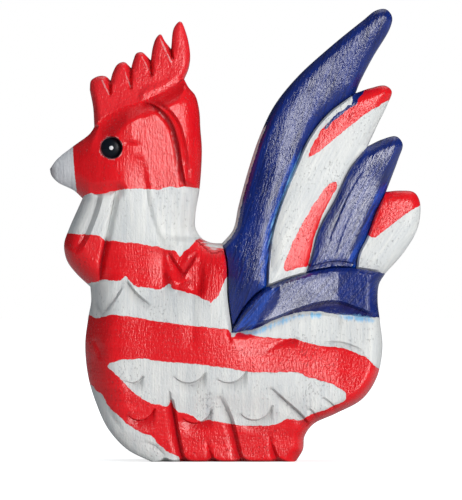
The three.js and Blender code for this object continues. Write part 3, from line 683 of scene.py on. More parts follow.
cheekGroove = head((7.7, 12.2), (10.9, 11.2), (13.8, 9.1), (16, 6), (17.3, 2), (18.2, -3.1),
                   (19.4, -10.2))
bodyCuts = [
    # hackle: the cheek falls gently, then steeply, to a groove; a second groove runs behind it
    cut(cheekGroove, 1.2, 0.5, 1.5, (3, 2)),
    cut([*head((9.5, 12.6), (12.4, 11.6), (15.3, 9.4), (17.6, 6.2), (18.9, 2), (19.9, -3.1),
               (20.8, -9.9))], 0.8, 0.8, 0.6, (4, 7)),
    # the gill runs down the neck, its far wall upright
    cut([(-21.2, 80.8), (-21, 76.5), (-20.6, 72.6), (-19.9, 67.4), (-19.1, 65.1), (-17.6, 60.5),
         (-16, 56.6)], 0.8, 1.5, 5.4, (7, 6)),
    cut([*head((3.4, 1.5), (5.3, 1.3), (7.6, 1.1))], 0.45, 0.5, 0.9, (2, 2)),
    # the pale ridge behind the neck runs out in a small V
    cut([(-10.2, 71), (-10.5, 63.5), (-10.9, 54.4)], 0.4, 1.2, 1.6, (4, 3)),
    cut([(-12.9, 71), (-12.9, 63.5), (-12.6, 57)], 0.35, 1.4, 1.2, (4, 3)),
    cut([(-14.9, 55.5), (-13, 52.3), (-10.9, 49.4)], 1.1, 0.8, 1.8, (2, 0)),
    cut([(-10.9, 49.4), (-9, 52.3), (-7.2, 55.5)], 1.1, 1.8, 0.8, (0, 2)),
    cut([(-12.6, 44), (-11.5, 46.5), (-8.4, 48.2)], 0.7, 0.6, 3.6, (2, 2)),
    # soft hollows in the neck band and on down the breast
    cut([(-16.2, 57), (-16, 51), (-15.8, 44)], 0.64, 3.0, 4.8, (3, 3)),
    cut([(-8.2, 53), (-8.3, 44), (-8.2, 36), (-8.4, 30)], 0.38, 2.6, 4.6, (4, 4)),
    # feather tips on the breast
    cut([(-26.3, 47.5), (-28.7, 43.4), (-32, 39)], 1.0, 0.6, 2.8, (3, 1)),
    cut([(-25.9, 47.8), (-23.1, 44.2), (-19.4, 41.2)], 1.2, 0.6, 2.6, (1, 4)),
    cut([(-33.8, 42.3), (-33.1, 40.6), (-32, 39)], 0.8, 0.5, 1.8, (2, 0)),
    cut([(-34.6, 32.4), (-33.2, 30), (-32.6, 27)], 0.6, 2.4, 0.8),
    # the saddle band: a groove above its lower edge, and the slope that falls to it
    cut([(2.6, 34.2), (6, 34.9), (9.7, 36.1), (12.9, 37.2), (17.2, 39), (20.8, 40.3), (25.1, 41.5),
         (29.7, 41.8), (35.8, 39.9), (40.4, 38.1)], 1.4, 0.9, 3.4, (2, 6)),
    cut([*tail((-8, -12.6), (-2.6, -11.6), (3.5, -9.2), (8.9, -7.6), (14.8, -7.5), (20, -8.2))],
        1.2, 0.8, 11.0, (10, 9)),
    cut([(25.3, 31.6), (30.9, 31.4), (34.8, 30.2), (36.6, 29.1)], 0.7, 0.5, 2.2),
    cut([(7.8, 27.2), (13.2, 30.6), (20.4, 32.8)], 1.1, 0.5, 3.0, (12, 2), True),
    cut([(1.7, 35.7), (1.5, 31.4)], 0.4, 0.5, 0.5, (1, 1)),
    # long feather cuts fanning down to the base
    cut([(-14.7, 19.7), (-13.8, 15.4), (-12.4, 7.6), (-10.9, 0)], 1.8, 0.9, 2.4, (5, 0), True),
    cut([(-4.9, 6.6), (-4, 3.6), (-3.2, 0)], 1.1, 0.8, 1.5, (6, 0), True),
    cut([(-1.3, 17.6), (1.2, 12.3), (2.4, 8.4), (4.4, 0)], 1.5, 1.0, 2.4, (7, 0)),
    cut([(11.6, 8.4), (12.6, 4.4), (14, 0)], 1.2, 0.8, 1.5, (7, 0), True),
    cut([(11.8, 19.9), (15.2, 16.9), (20.2, 12.4), (22.4, 9.7)], 1.3, 0.6, 3.4, (5, 1)),
    cut([(21.8, 14.5), (23.4, 13.1), (25, 11)], 0.9, 0.5, 1.6),
    cut([(25.7, 17.2), (28.2, 15.4), (30.1, 13.4)], 0.9, 0.5, 1.6),
    # creases on the breast's lower edge
    cut([(-30.5, 14.8), (-28.6, 11.4), (-26.6, 8.3)], 0.5, 0.6, 2.0),
    cut([(-21.5, 5.6), (-17.6, 3.8), (-15.4, 0.8)], 0.6, 0.6, 2.0),
]
# a gouge stab: an upright wall under a feather tip, and a scoop below it that ends at a wall
for stab in (((-26.4, 21.8), (-23.6, 20.9), (-21.5, 22.6)),
             ((-13.5, 22.9), (-9.0, 20.8), (-5, 23.5)),
             ((-2.2, 22.2), (2.0, 20.9), (5.8, 23.8)),
             ((-25.6, 12.6), (-21.8, 11.0), (-18.4, 13.8)),
             ((-11.4, 12.1), (-7.1, 10.2), (-3.3, 14.2)),
             ((4, 13.1), (8.7, 11.0), (12.6, 14.8))):
    bodyCuts.append(cut(arc(*stab), 1.0, 0.4, 3.6, (3.5, 0), stop=stab[-1][0] + 0.3))
bodyFacets = [
    # the cheek
    facet([(-23.8, 89.9), (-22.2, 91.5), (-19.9, 93.4), (-17.6, 93.2), (-15.2, 91), (-13.6, 88.3),
           (-12.5, 84.5), (-11.7, 79.9), (-11.1, 74.7), (-6, 71), (-6, 60), (-12.2, 59),
           (-15.6, 60), (-17.8, 65.6), (-19, 71.2), (-19.9, 76.3), (-20.6, 80.2), (-21.6, 81.6),
           (-23.2, 81.8), (-24.2, 85.7)], 9.5, 2, 0.9),
    # behind the cheek, above the grooves
    facet([(-17.4, 94.2), (-14.8, 96), (-12.2, 97.1), (-10.4, 97.4), (-10.6, 94.4), (-11.4, 91.6),
           (-12.4, 90.2), (-14.1, 91.6), (-15.8, 93)], 10.5, 5, 0.9, 0.7),
    # beside the notch of the neck stripe
    facet([(-14.8, 49.6), (-11.4, 48.4), (-9.7, 53.8), (-7, 55.6), (-6.4, 44.4), (-10, 45),
           (-13.6, 46)], 9.2, 1, 1.2, 0.5),
    # the tip of the saddle band
    facet([(1.5, 34), (5, 42), (9, 46), (13.5, 46.6), (13.6, 43.5), (9.4, 36.6), (7, 34)],
          0, -5, 1.2, 0.4),
]
footCuts = {"places": (-15.5, -10.6, -3, 4.8, 14.2), "depth": 0.9, "spread": 1.2, "reach": 5.0}


def footScallops(coords):
    # the lower edge of each face is nicked where the long cuts run out of the base
    x, y, z = coords.T
    nick = sum(np.exp(-((x - place) / footCuts["spread"]) ** 2) for place in footCuts["places"])
    edge = np.abs(y) - (bodyForm["baseEdge"] - footCuts["reach"])
    lift = (0.15 + nick * footCuts["depth"]) * smooth(edge / footCuts["reach"])
    coords[:, 2] = z + lift * np.clip(1 - z / 3, 0, 1)
    return coords


def fromEye(at):
    return np.hypot(*(at - eyeAt).T)


def combSide(at, up):
    # half the comb's width, from its foot on the crown at 0 to its tips at 1
    width = combForm["width"] + (combForm["tipWidth"] - combForm["width"]) * up
    return width / 2 - (at[:, 0] - crownFront[0]) * combForm["lean"]


def combFlare(at):
    # the foot swells where it joins the head, more to the back
    return combForm["flare"] * smooth((at[:, 0] - crownFront[0]) / 14)


def throatSeam(at):
    # the seam beside the lobe is a groove in the red and nearly filled in the white
    return 0.15 + 0.7 * smooth((60.0 - at[:, 1]) / 2)


def bodyHalf(at, side):
    x, z = at.T
    full = blockHalf(at)
    # towards the tail the block thins, softly at first, up to a crease in front of the rump
    t = bodyForm["tailward"]
    ramp = np.clip(x - t["begins"], 0, t["steady"] - t["begins"])
    steady = np.clip(x, t["steady"], t["ends"]) - t["steady"]
    lower = t["low"] + (1 - t["low"]) * smooth((z - t["from"]) / t["over"])
    full = full - t["fall"] * lower * (ramp ** 2 / (2 * (t["steady"] - t["begins"])) + steady)
    full = cutFacets(bodyFacets, at, full)
    b = bodyForm["breast"]
    breastRim = b["rim"] + np.clip((b["below"] - z) * b["growth"], 0, b["most"])
    lobe = bodyForm["wattleWidth"] / 2
    drop = {name: step for name, (step, _) in bodyForm["seams"].items()}
    run = {name: reach for name, (_, reach) in bodyForm["seams"].items()}
    half = edged(full, at, [
        *[(name, *rim, shoulder) for name, rim in bodyForm["rims"].items()],
        ("breast", breastRim, b["run"], shoulder),
        ("base", lambda f: f - drop["base"], run["base"], shoulder),
        ("wattleFoot", lobe + drop["wattleFoot"], run["wattleFoot"], shoulder),
        ("throat", lobe - throatSeam(at), 1.6, smooth),
        ("jaw", lobe + drop["jaw"], run["jaw"], smooth),
        *[(name, lambda f: f - drop["root"], run["root"], straight) for name in rootRuns],
    ])
    # the crown rises out of the comb's foot without a crease
    reach = np.interp(x, *np.transpose(bodyForm["crownReach"]))
    off = measure(lines["crown"], at, 9)[0]
    share = off / reach
    foot = combSide(at, 0) + combFlare(at)
    start = 2 * combFlare(at) / combForm["flareReach"] * reach
    crown = foot + start * (share ** 3 - 2 * share ** 2 + share) + (full - foot) * smooth(share)
    half = np.where(off < reach, np.minimum(half, crown), half)
    # the drilled socket has a flat floor, a little under its lowest rim
    away = fromEye(at)
    socket = eyeForm["socket"]
    eyeSeat[side] = float(half[np.abs(away - socket) < 0.3].min()) - eyeForm["sunk"]
    half = np.where(away < socket, eyeSeat[side], half)
    loose = inland(at, bodyRing, bodyForm["inland"]) * smooth((away - socket) / 2)
    uneven = scoops(at, side, **bodyForm["marks"]) + waves(at, side, **bodyForm["waves"])
    return half - carveCuts(bodyCuts, at) + uneven * loose


rootRuns = ["rootFront", "rootBack", "bandSecond", "bandThird", "bandRear"]
bodyRuns = ["beak", "crown", "nape", *rootRuns, "rump", "base", "breast", "wattleFoot", "throat",
            "jaw", "chin"]
bodyRing = outlineOf(bodyRuns)

bodyPaint = {
    "beak": [(-50, 88), (-40.2, 88), (-40.2, 83.1), (-39.9, 80), (-39.6, 76), (-39.2, 71.8),
             (-39.6, 68), (-50, 68)],
    "head": [(-41, 89), (-40.2, 83.1), (-39.9, 80), (-39.6, 76), (-39.2, 71.8), (-38.9, 66),
             (-37.5, 69.8), (-35.1, 71), (-33, 70.5), (-31.9, 70.8), (-29.8, 71.4), (-27.4, 71.9),
             (-25, 72.2), (-22.6, 72.2), (-19.7, 72.1), (-17, 72), (-15.4, 72.6), (-13.8, 72.8),
             (-12.2, 72.5), (-10.6, 72.8), (-8.5, 72.5), (-3, 72.2), (2, 72.2), (2, 105),
             (-41, 105)],
    "neck": [(-33, 58.5), (-30.9, 58.5), (-28.7, 58.3), (-27.4, 58.1), (-24.2, 57.9),
             (-20.5, 57.3), (-18.9, 56.9), (-17.6, 57.1), (-16.5, 56.5), (-15.2, 56.1),
             (-13.8, 56.1), (-12.5, 55.5), (-11.6, 54), (-10.6, 55.5), (-9.3, 56.4), (-8, 57.9),
             (-7.1, 58.9), (-5.6, 59.3), (-2.5, 58.3), (1.2, 57.6), (3, 55), (2.5, 52), (0.7, 48.8),
             (-0.8, 45.6), (-1.9, 43.2), (-2.9, 42.8), (-3.4, 41.8), (-3.9, 42.7), (-5.6, 43),
             (-6.9, 43.9), (-8.1, 44.3), (-11.2, 45.2), (-13.8, 46), (-14.3, 47.2), (-15.4, 46.4),
             (-16.5, 45.8), (-17.3, 45.4), (-19.7, 46), (-21.3, 46.3), (-22.9, 46.2),
             (-24.2, 47.1), (-25.3, 48.4), (-25.9, 49.2), (-26.9, 48.2), (-27.7, 47.9),
             (-30.3, 48), (-32.7, 47.9), (-36, 47.6), (-37, 58.4)],
    "torso": [(-44, 39.5), (-36.2, 39), (-35.4, 38.7), (-33.4, 37.9), (-31.7, 38.4), (-29.3, 38.9),
              (-26.6, 38.6), (-23.7, 38.3), (-19.7, 37.6), (-15.2, 36.9), (-9, 36.1), (-3.7, 35.6),
              (0.7, 35.1), (1.7, 34.3), (2.1, 32.8), (3.8, 34.2), (5.9, 33.8), (7.2, 33.9),
              (8.5, 33.3), (12.5, 32.9), (15.7, 32.7), (18.8, 32.6), (21, 31.8), (25.8, 30.7),
              (29, 30.5), (31.4, 30.2), (34.6, 28.9), (37.5, 27.7), (41, 24.6), (48, 23),
              (48, -6), (-11.2, -6), (-11.8, 1.2), (-13.6, 2.3), (-15, 2.9), (-17.6, 5.2),
              (-19.5, 7.2), (-20.5, 7.3), (-22.9, 8.5), (-25.4, 10.1), (-27.7, 12.4),
              (-29.5, 13.6), (-30.6, 15), (-32.1, 17.7), (-33.8, 18.9), (-34.9, 20.1), (-44, 20.5)],
    "wing": [(-30.8, 25.4), (-30.2, 26.3), (-29.1, 26.3), (-27.1, 27.2), (-24.7, 27.2),
             (-21.6, 27.5), (-18.4, 26.9), (-14.9, 26.5), (-9, 26.1), (-3.2, 25.5), (0.5, 25),
             (4.5, 24.3), (7.5, 23.8), (10.6, 23.8), (13.6, 23.7), (16.2, 23.8), (18.9, 23.8),
             (20.5, 23.5), (21.6, 22.6), (24.2, 22), (26.6, 21.2), (28.2, 20.8), (29.7, 20.1),
             (30.9, 19.4), (32, 18.5), (32.1, 16.6), (30.9, 15.8), (28.7, 14.9), (26.1, 13.7),
             (23.6, 12.9), (21.8, 12), (20, 11), (18.1, 11.4), (16.5, 11.3), (14.9, 10.5),
             (13.2, 10), (11.2, 9.6), (9.3, 9.6), (6.7, 9.6), (3.9, 9.8), (1.6, 10.2),
             (-0.3, 10.5), (-2.7, 11), (-4.5, 11.3), (-5.6, 10.7), (-6.3, 10.9), (-8, 12.1),
             (-9.8, 13), (-12.4, 13.6), (-13.4, 15), (-13.9, 16.9), (-14.4, 15.6), (-14.7, 14.9),
             (-17, 15.3), (-18.5, 15.4), (-20.8, 16.5), (-22.7, 17.7), (-25.3, 20), (-27.7, 22.5),
             (-29.5, 24.1)],
    "band": [(2, 34.3), (3.2, 38), (5, 43), (8.2, 49), (11.3, 55), (38.8, 56), (48, 53),
             (48, 46), (48, 38.2), (41.4, 38.1), (37.3, 38.3),
             (33.5, 38.7), (29.8, 39), (26.1, 39.6), (23.1, 39.8), (20.2, 39.6), (17.6, 39),
             (14.9, 38.2), (12.2, 37), (9.8, 35.9), (7.5, 34.9), (5.2, 34.7), (3.7, 34.4)],
}


def throatShade(at):
    # painted shade in the seam beside the lobe
    off = measure(lines["throat"], at, 0.7)[0]
    return 2.2 * (1 - off / 0.7) * smooth((60.0 - at[:, 1]) / 1.5)


def beakShade(at):
    # painted shade at the tip, more so underneath
    x, z = (at - beakTip).T
    return 2.0 * smooth(1.3 - np.hypot(x - 0.2, (z + 1.2) * 0.5) / 1.6)


def freeRim(at, names, reach=1.5):
    # 0 on the edges that show against the air, 1 from this far inside them
    return np.min([measure(lines[name], at, reach)[0] for name in names], axis=0) / reach


# smears of pale blue below the band, and thin bright blue at its tip
palePaint = [
    [(5.1, 34.3), (7.5, 34.4), (10.1, 35.3), (15.2, 37.4), (20.2, 38.8), (26.1, 38.9), (26.1, 38.5),
     (20.2, 38.4), (16, 37), (11.7, 35.2), (8.2, 33.9)],
    [(30.5, 38.5), (33.5, 38.6), (38.5, 38), (39.3, 37.2), (36, 37.4), (32.6, 37.9)],
]
brightPaint = [(2.4, 34.6), (5.3, 38.6), (9, 43.5), (13, 46.5), (14.8, 46), (12, 42.6), (9.6, 38.8),
               (8.4, 35.4), (5, 34.6)]
# white dragged over the top of the saddle, and the ropy red below it
smearPaint = [(-7.6, 60.8), (-5.4, 59.6), (-3, 58.9), (0.2, 58.5), (1.8, 57.4), (1.2, 55.6),
              (-1.2, 56.6), (-2.6, 55.9), (-5.0, 57.6), (-7.2, 59.6)]
ropePaint = [(-9.5, 58), (-5, 59.5), (1, 58.5), (3, 55), (0.5, 48), (-3, 41), (-6, 43), (-8.5, 48.5)]


bodyBrush = {"upright": 90, "level": -4, "slanted": 48, "neckLevel": -14, "varnishEnds": 31.2}


def paintBody(at, coords):
    areas = {name: zone(points, at) for name, points in bodyPaint.items()}
    neck, torso, wing, band = (areas[name] for name in ("neck", "torso", "wing", "band"))
    smear = zone(smearPaint, at)
    # most of it is brushed upright, the front of the neck and the red bands level
    level = ((neck > 0) & (at[:, 0] < bodyBrush["neckLevel"])) | (torso > 0) | (smear > -0.8)
    layers = strokes(at, bodyBrush["upright"])
    for angle, where in (("level", level & (wing < 0)), ("slanted", band > 0)):
        for key, values in strokes(at, bodyBrush[angle]).items():
            layers[key] = np.where(where, values, layers[key])
    # a pink painted highlight rings the eye's socket
    socketGlint = eyeForm["socketGlint"]
    # the narrow cuts, the throat seam and the beak tip darken as painted shade, through hollow
    narrow = [c for c in bodyCuts if c["left"] < 2 and c["right"] < 5]
    return {**layers, "redEdge": np.max([areas["head"], neck, np.minimum(torso, -wing)], axis=0),
            "blueEdge": band, "beakEdge": areas["beak"],
            "hollow": carveCuts(narrow, at) + throatShade(at) + beakShade(at),
            "paleEdge": np.max([zone(points, at) for points in palePaint], axis=0) + 0.4,
            "eyeRing": socketGlint - abs(fromEye(at) - eyeForm["socket"] - socketGlint),
            "smearEdge": smear + 0.3, "streak": smooth(zone(ropePaint, at) / 2 + 0.5),
            "brightEdge": zone(brightPaint, at),
            "varnish": np.minimum(band, bodyBrush["varnishEnds"] - at[:, 0]),
            "rim": freeRim(at, ("beak", "nape", "rump", "breast", "chin"))}


socketRims = [arc(*head((r, 0), (-r, 0.01), (r, -0.02)), 60)
              for r in (eyeForm["socket"] - 0.04, eyeForm["socket"] + 0.04)]
body = carve("bodyWood", bodyRuns, bodyCuts, bodyHalf, paintBody, lip=footScallops,
             rounds=socketRims)
coatsOfBody = [("redEdge", "red", False), ("beakEdge", "grey", False), ("blueEdge", "blue", False),
               ("brightEdge", "bright", True), ("paleEdge", "pale", True),
               ("smearEdge", "white", True), ("eyeRing", "pinkGlint", False)]
dress(body, paintedWood("bodyPaint", "white", coatsOfBody, 1.35, varnished="varnish"), "root",
      "painted_white", "body")

# Comb: five points, each with a crease from its tip to the foot of the notch behind it
combCuts = []
notches = [points[0] for points in combPoints[1:]]
for notch, foot in zip(notches, head((-0.5, 13.2), (4.9, 15.0), (10.5, 18.6), (16, 23.4))):
    combCuts.append(cut([notch, foot], combForm["notch"], 0.7, 1.3, (0, math.dist(notch, foot)), True))
combFacets = [
    # along the foot behind
    facet([(-22, 95.4), (-21.8, 97.6), (-16.7, 100.1), (-11.2, 102.2), (-10, 101.4),
           (-13.2, 99.2), (-17.2, 97.2)], 9.4, 4, 0.9, 0.5),
    facet(head((-1.9, 19.6), (-0.2, 18.4), (-0.3, 13.6)), 32, 8, 0.25),
    facet(head((3.1, 23.6), (5.3, 21.8), (5.1, 15.4)), 32, 8, 0.25),
    facet(head((7.8, 26.2), (10.6, 23.9), (10.7, 18.9)), 32, 8, 0.25),
    facet(head((12.7, 31.2), (16, 27), (16.2, 23.6)), 32, 8, 0.25),
]
# a painted highlight runs along the front edge of each bevel, where the net gets extra rows of points
combGlints = [((-32.3, 100.9), (-30.5, 97.2)), ((-26.6, 104.2), (-24.9, 99.3)),
            ((-21.8, 107.3), (-19.5, 102.9)), ((-17, 112.3), (-14, 105.8))]
glintLines = [np.linspace(*ends, 20) for ends in combGlints]
glintRows = [line + (step, 0) for line in glintLines for step in (-0.2, 0, 0.2)]
combRuns = ["combFront", *spikes, "-crown"]
combRing = outlineOf(combRuns)


def combHalf(at, side):
    # a wedge, thick at the crown and thin at the tips
    rise = np.interp(at[:, 0], (crownFront[0], crownBack[0]), combForm["rise"])
    above = measure(lines["crown"], at, 99)[0]
    full = combSide(at, np.clip(above / rise, 0, 1))
    full = full + combFlare(at) * np.clip(1 - above / combForm["flareReach"], 0, 1) ** 2
    full = cutFacets(combFacets, at, full)
    free = [(name, combForm["rim"], combForm["round"], shoulder) for name in ["combFront", *spikes]]
    half = edged(full, at, free)
    marks = scoops(at, side, **combForm["marks"]) * inland(at, combRing, combForm["inland"])
    return half - carveCuts(combCuts, at) + marks


def paintComb(at, coords):
    glint = np.min([measure(line, at, 1)[0] for line in glintLines], axis=0)
    # the notches darken as painted shade, through hollow
    return {**strokes(at, 80), "hollow": carveCuts(combCuts, at) * 0.6, "streak": np.zeros(len(at)),
            "wearEdge": 0.14 - glint, "rim": freeRim(at, ["combFront", *spikes], 1.0)}


comb = carve("combWood", combRuns, combCuts, combHalf, paintComb, 0.4, rounds=glintRows)
# the comb's red is made lighter and pinker as painted light
dress(comb, paintedWood("combPaint", "litRed", [("wearEdge", "pinkGlint", False)], 2.0), "root",
      "painted_red", "comb")

# Wattle: a lobe with a broad hollow down its middle, white above and red below
wattleForm = {"rim": 1.6, "round": 6.0, "inland": 2.0,
              "marks": {"seed": 41, "size": 5.0, "stretch": (1, 1), "depth": 0.15}}
wattleCuts = [
    cut([*head((-3.4, -12.5), (-4.2, -15.6)), (-35.6, 62.9), (-37.2, 59.2), (-39.6, 55.4)],
        1.7, 1.4, 4.0, (0, 5)),
]
wattlePaint = [(-50, 61.1), (-41, 60.4), (-38.3, 60.2), (-35.9, 60.1), (-33.5, 59.9),
               (-32.2, 59.2), (-31.1, 58.3), (-25, 57), (-25, 47.8), (-32, 47.6), (-50, 47.4)]
wattleRuns = ["wattleFront", "wattleFoot", "throat", "jaw"]
wattleRing = outlineOf(wattleRuns)


def wattleHalf(at, side):
    full = np.full(len(at), bodyForm["wattleWidth"] / 2)
    half = edged(full, at, [
        ("wattleFront", wattleForm["rim"], wattleForm["round"], shoulder),
        ("jaw", full[0] - 0.5, 1.6, shoulder), ("throat", full - throatSeam(at), 0.6, straight),
        ("wattleFoot", full[0] - 0.8, 1.6, straight)])
    marks = scoops(at, side, **wattleForm["marks"]) * inland(at, wattleRing, wattleForm["inland"])
    return half - carveCuts(wattleCuts, at) + marks


def paintWattle(at, coords):
    # the cut and the throat seam darken as painted shade, through hollow
    return {**strokes(at, 70), "redEdge": zone(wattlePaint, at),
            "rim": freeRim(at, ["wattleFront"]), "streak": np.zeros(len(at)),
            "hollow": carveCuts(wattleCuts, at) * 0.4 + throatShade(at)}


wattle = carve("wattleWood", wattleRuns, wattleCuts, wattleHalf, paintWattle)
dress(wattle, paintedWood("wattlePaint", "white", [("redEdge", "red", False)]), "root",
      "painted_red", "wattle")

# Tail feathers: each a long tapering blade, a step below the one ahead of it
featherForms = {
    "sickleWood": {
        "node": "tail_sickle", "slot": "painted_blue", "step": 0, "ground": "blue",
        "crown": 5.0, "fall": 0.9, "free": "sickle", "roots": ["rootFront", "rootBack"],
        "before": None, "after": "seam12", "angle": 72, "coats": {}, "shine": 0.6,
        "round": 1.9,
        "ridges": [
            ridge([(44, 122), (40.7, 118.4), (36.6, 115.4), (31.7, 111), (26.9, 106.5), (22.4, 101.2),
                   (19.4, 96.8), (17.2, 92.6), (15.7, 88.2), (14.6, 83.3), (13.6, 77), (12.6, 71.5),
                   (11.6, 67.7), (10.7, 62.7), (10.3, 57.7), (10.3, 54.1), (10.5, 46)], 0.17),
            ridge([(44, 119), (42.6, 116.2), (39.2, 110.2), (35.8, 105), (33.2, 100.1), (29.9, 96.8),
                   (26.2, 93.8), (23.1, 90.8), (20.9, 86.7), (19.1, 82.9), (17.8, 78.8), (16.8, 74),
                   (15.9, 70.3), (14, 64), (12.6, 58), (12, 52), (12, 46)], 0.30, 0.3),
        ],
    },
    "secondWood": {
        "node": "tail_feather_second", "slot": "painted_white", "step": 1, "ground": "white",
        "crown": 3, "fall": 0.3, "free": "second", "roots": ["bandSecond"],
        "before": "seam12", "after": "seam23", "angle": 62,
        "ridges": [
            ridge([(46, 100.5), (41, 98), (36.5, 94.6), (31.5, 90.5), (28, 87), (24.4, 82.5),
                   (22, 76), (19.8, 70), (17.6, 63.5), (15.6, 57.5), (14.2, 52), (13.5, 47)], 0.17),
        ],
        "cuts": [cut([(15.6, 75), (13.6, 66), (12.6, 58), (12.3, 50)], 0.6, 3.0, 0.6, (9, 2))],
        "coats": {
            "redEdge": [
                [(22.1, 80.3), (23.1, 82.9), (24.5, 85.5), (26.1, 88.2), (28.5, 90.5),
                 (31.1, 92.6), (33.5, 94.2), (34.9, 95.7), (35.9, 97.3), (38.3, 99.5),
                 (41.1, 101), (46, 100), (45.5, 96.5), (42.6, 95.3), (41.1, 94.2), (39.1, 93.1),
                 (37.3, 91.9), (35.4, 90.3), (33.5, 88.9), (29.8, 85.9), (27.1, 83.7),
                 (24.6, 81.7)],
                [(29.7, 74.2), (28.2, 73.7), (26.9, 72.5), (24.6, 69.3), (22.4, 65.9),
                 (20.9, 63.2), (19.4, 60.5), (18, 57.6), (16.8, 54.7), (16.1, 53.2), (15.8, 51.8),
                 (16.3, 50.4), (19.2, 51.2), (22.2, 51.8), (22.7, 53.3), (23.1, 56), (23.9, 59.2),
                 (25, 62.4), (26.6, 66.3), (28.4, 69.8), (29.3, 71.4), (29.9, 72.9)],
            ],
            "blueEdge": [[(33.3, 93.8), (34.1, 95.4), (34, 98), (37, 99.5), (37.2, 97.8),
                          (35.9, 96.4), (35.2, 94.6)],
                         [(26.4, 88.2), (28.6, 90.9), (31.6, 93.2), (33.4, 94.6), (33.8, 94.1),
                          (31.2, 91.9), (28.6, 89.8), (27.2, 88.1)]],
        },
    },
    "thirdWood": {
        "node": "tail_feather_third", "slot": "painted_blue", "step": 2, "ground": "blue",
        "crown": 3, "fall": 0.7, "free": "third", "roots": ["bandThird"],
        "before": "seam23", "after": "seam34", "angle": 62, "coats": {}, "shine": 0.85,
        "ridges": [
            ridge([(49, 84), (45.6, 82), (40.3, 79.6), (37.2, 77.6), (33.6, 71.9), (30.5, 64.1),
                   (28.1, 57.7), (26.6, 53), (25.6, 48)], 0.17),
            ridge([(49, 83), (46.3, 81.8), (45.3, 80.8), (41, 71.9), (36.7, 63.4), (34.2, 57),
                   (33.2, 53.4), (32.4, 48)], 0.40, 0.2),
        ],
        "cuts": [
            cut([(22.4, 51.2), (26, 52.3), (30.3, 52.9), (34.4, 52.2)], 0.7, 0.4, 1.2, (1, 1)),
            # cracks along the grain
            cut([(37.6, 78), (33.1, 70.9), (29.9, 63.7), (27.5, 57.7)], 0.14, 0.2, 0.2, (3, 3)),
            cut([(35.2, 68.2), (33.2, 64.4), (30.9, 58.8), (29.4, 53.8)], 0.1, 0.2, 0.2, (3, 2)),
        ],
    },
    "rearWood": {
        "node": "tail_feather_rear", "slot": "painted_white", "step": 3, "ground": "white",
        "crown": 4, "fall": 0.5, "free": "rear", "roots": ["bandRear"],
        "before": "seam34", "after": None, "angle": 55, "ridges": [],
        "coats": {"redEdge": [[(38, 74), (45, 76), (55, 76), (56, 70), (52.4, 68), (51.1, 67.3),
                               (49.4, 66.3), (47.8, 65.3), (46.3, 64.1), (45, 63), (43.1, 61.6),
                               (41.2, 60.3), (40.4, 59.5), (39.6, 59.2), (38.5, 59.7), (37, 60.7),
                               (37, 66)]]},
    },
}
tailForm = {"rootWidth": 27.0, "tipWidth": 12.0, "reach": math.dist(tailRoot, sickleTip), "step": 1.0,
            "lean": 0.06, "rim": 0.35, "round": 3.0, "seam": 0.5, "steep": 1.1, "inland": 2.0,
            "marks": {"seed": 51, "size": 6.0, "stretch": (0.8, 1.6), "depth": 0.14}}
sickleTurn = {"front": 11.0, "slant": 0.2, "from": 64, "low": 88.0, "over": 14, "fall": 0.17,
              "most": 12, "tip": 28.0, "rise": 0.04}
# heights between which each paint lies: the bright blue of painted light and the pale on the seam, bare
# white on the front edge
sicklePaint = {"bright": 81, "pale": (56, 84), "white": (57, 90), "ropes": (84, 62)}


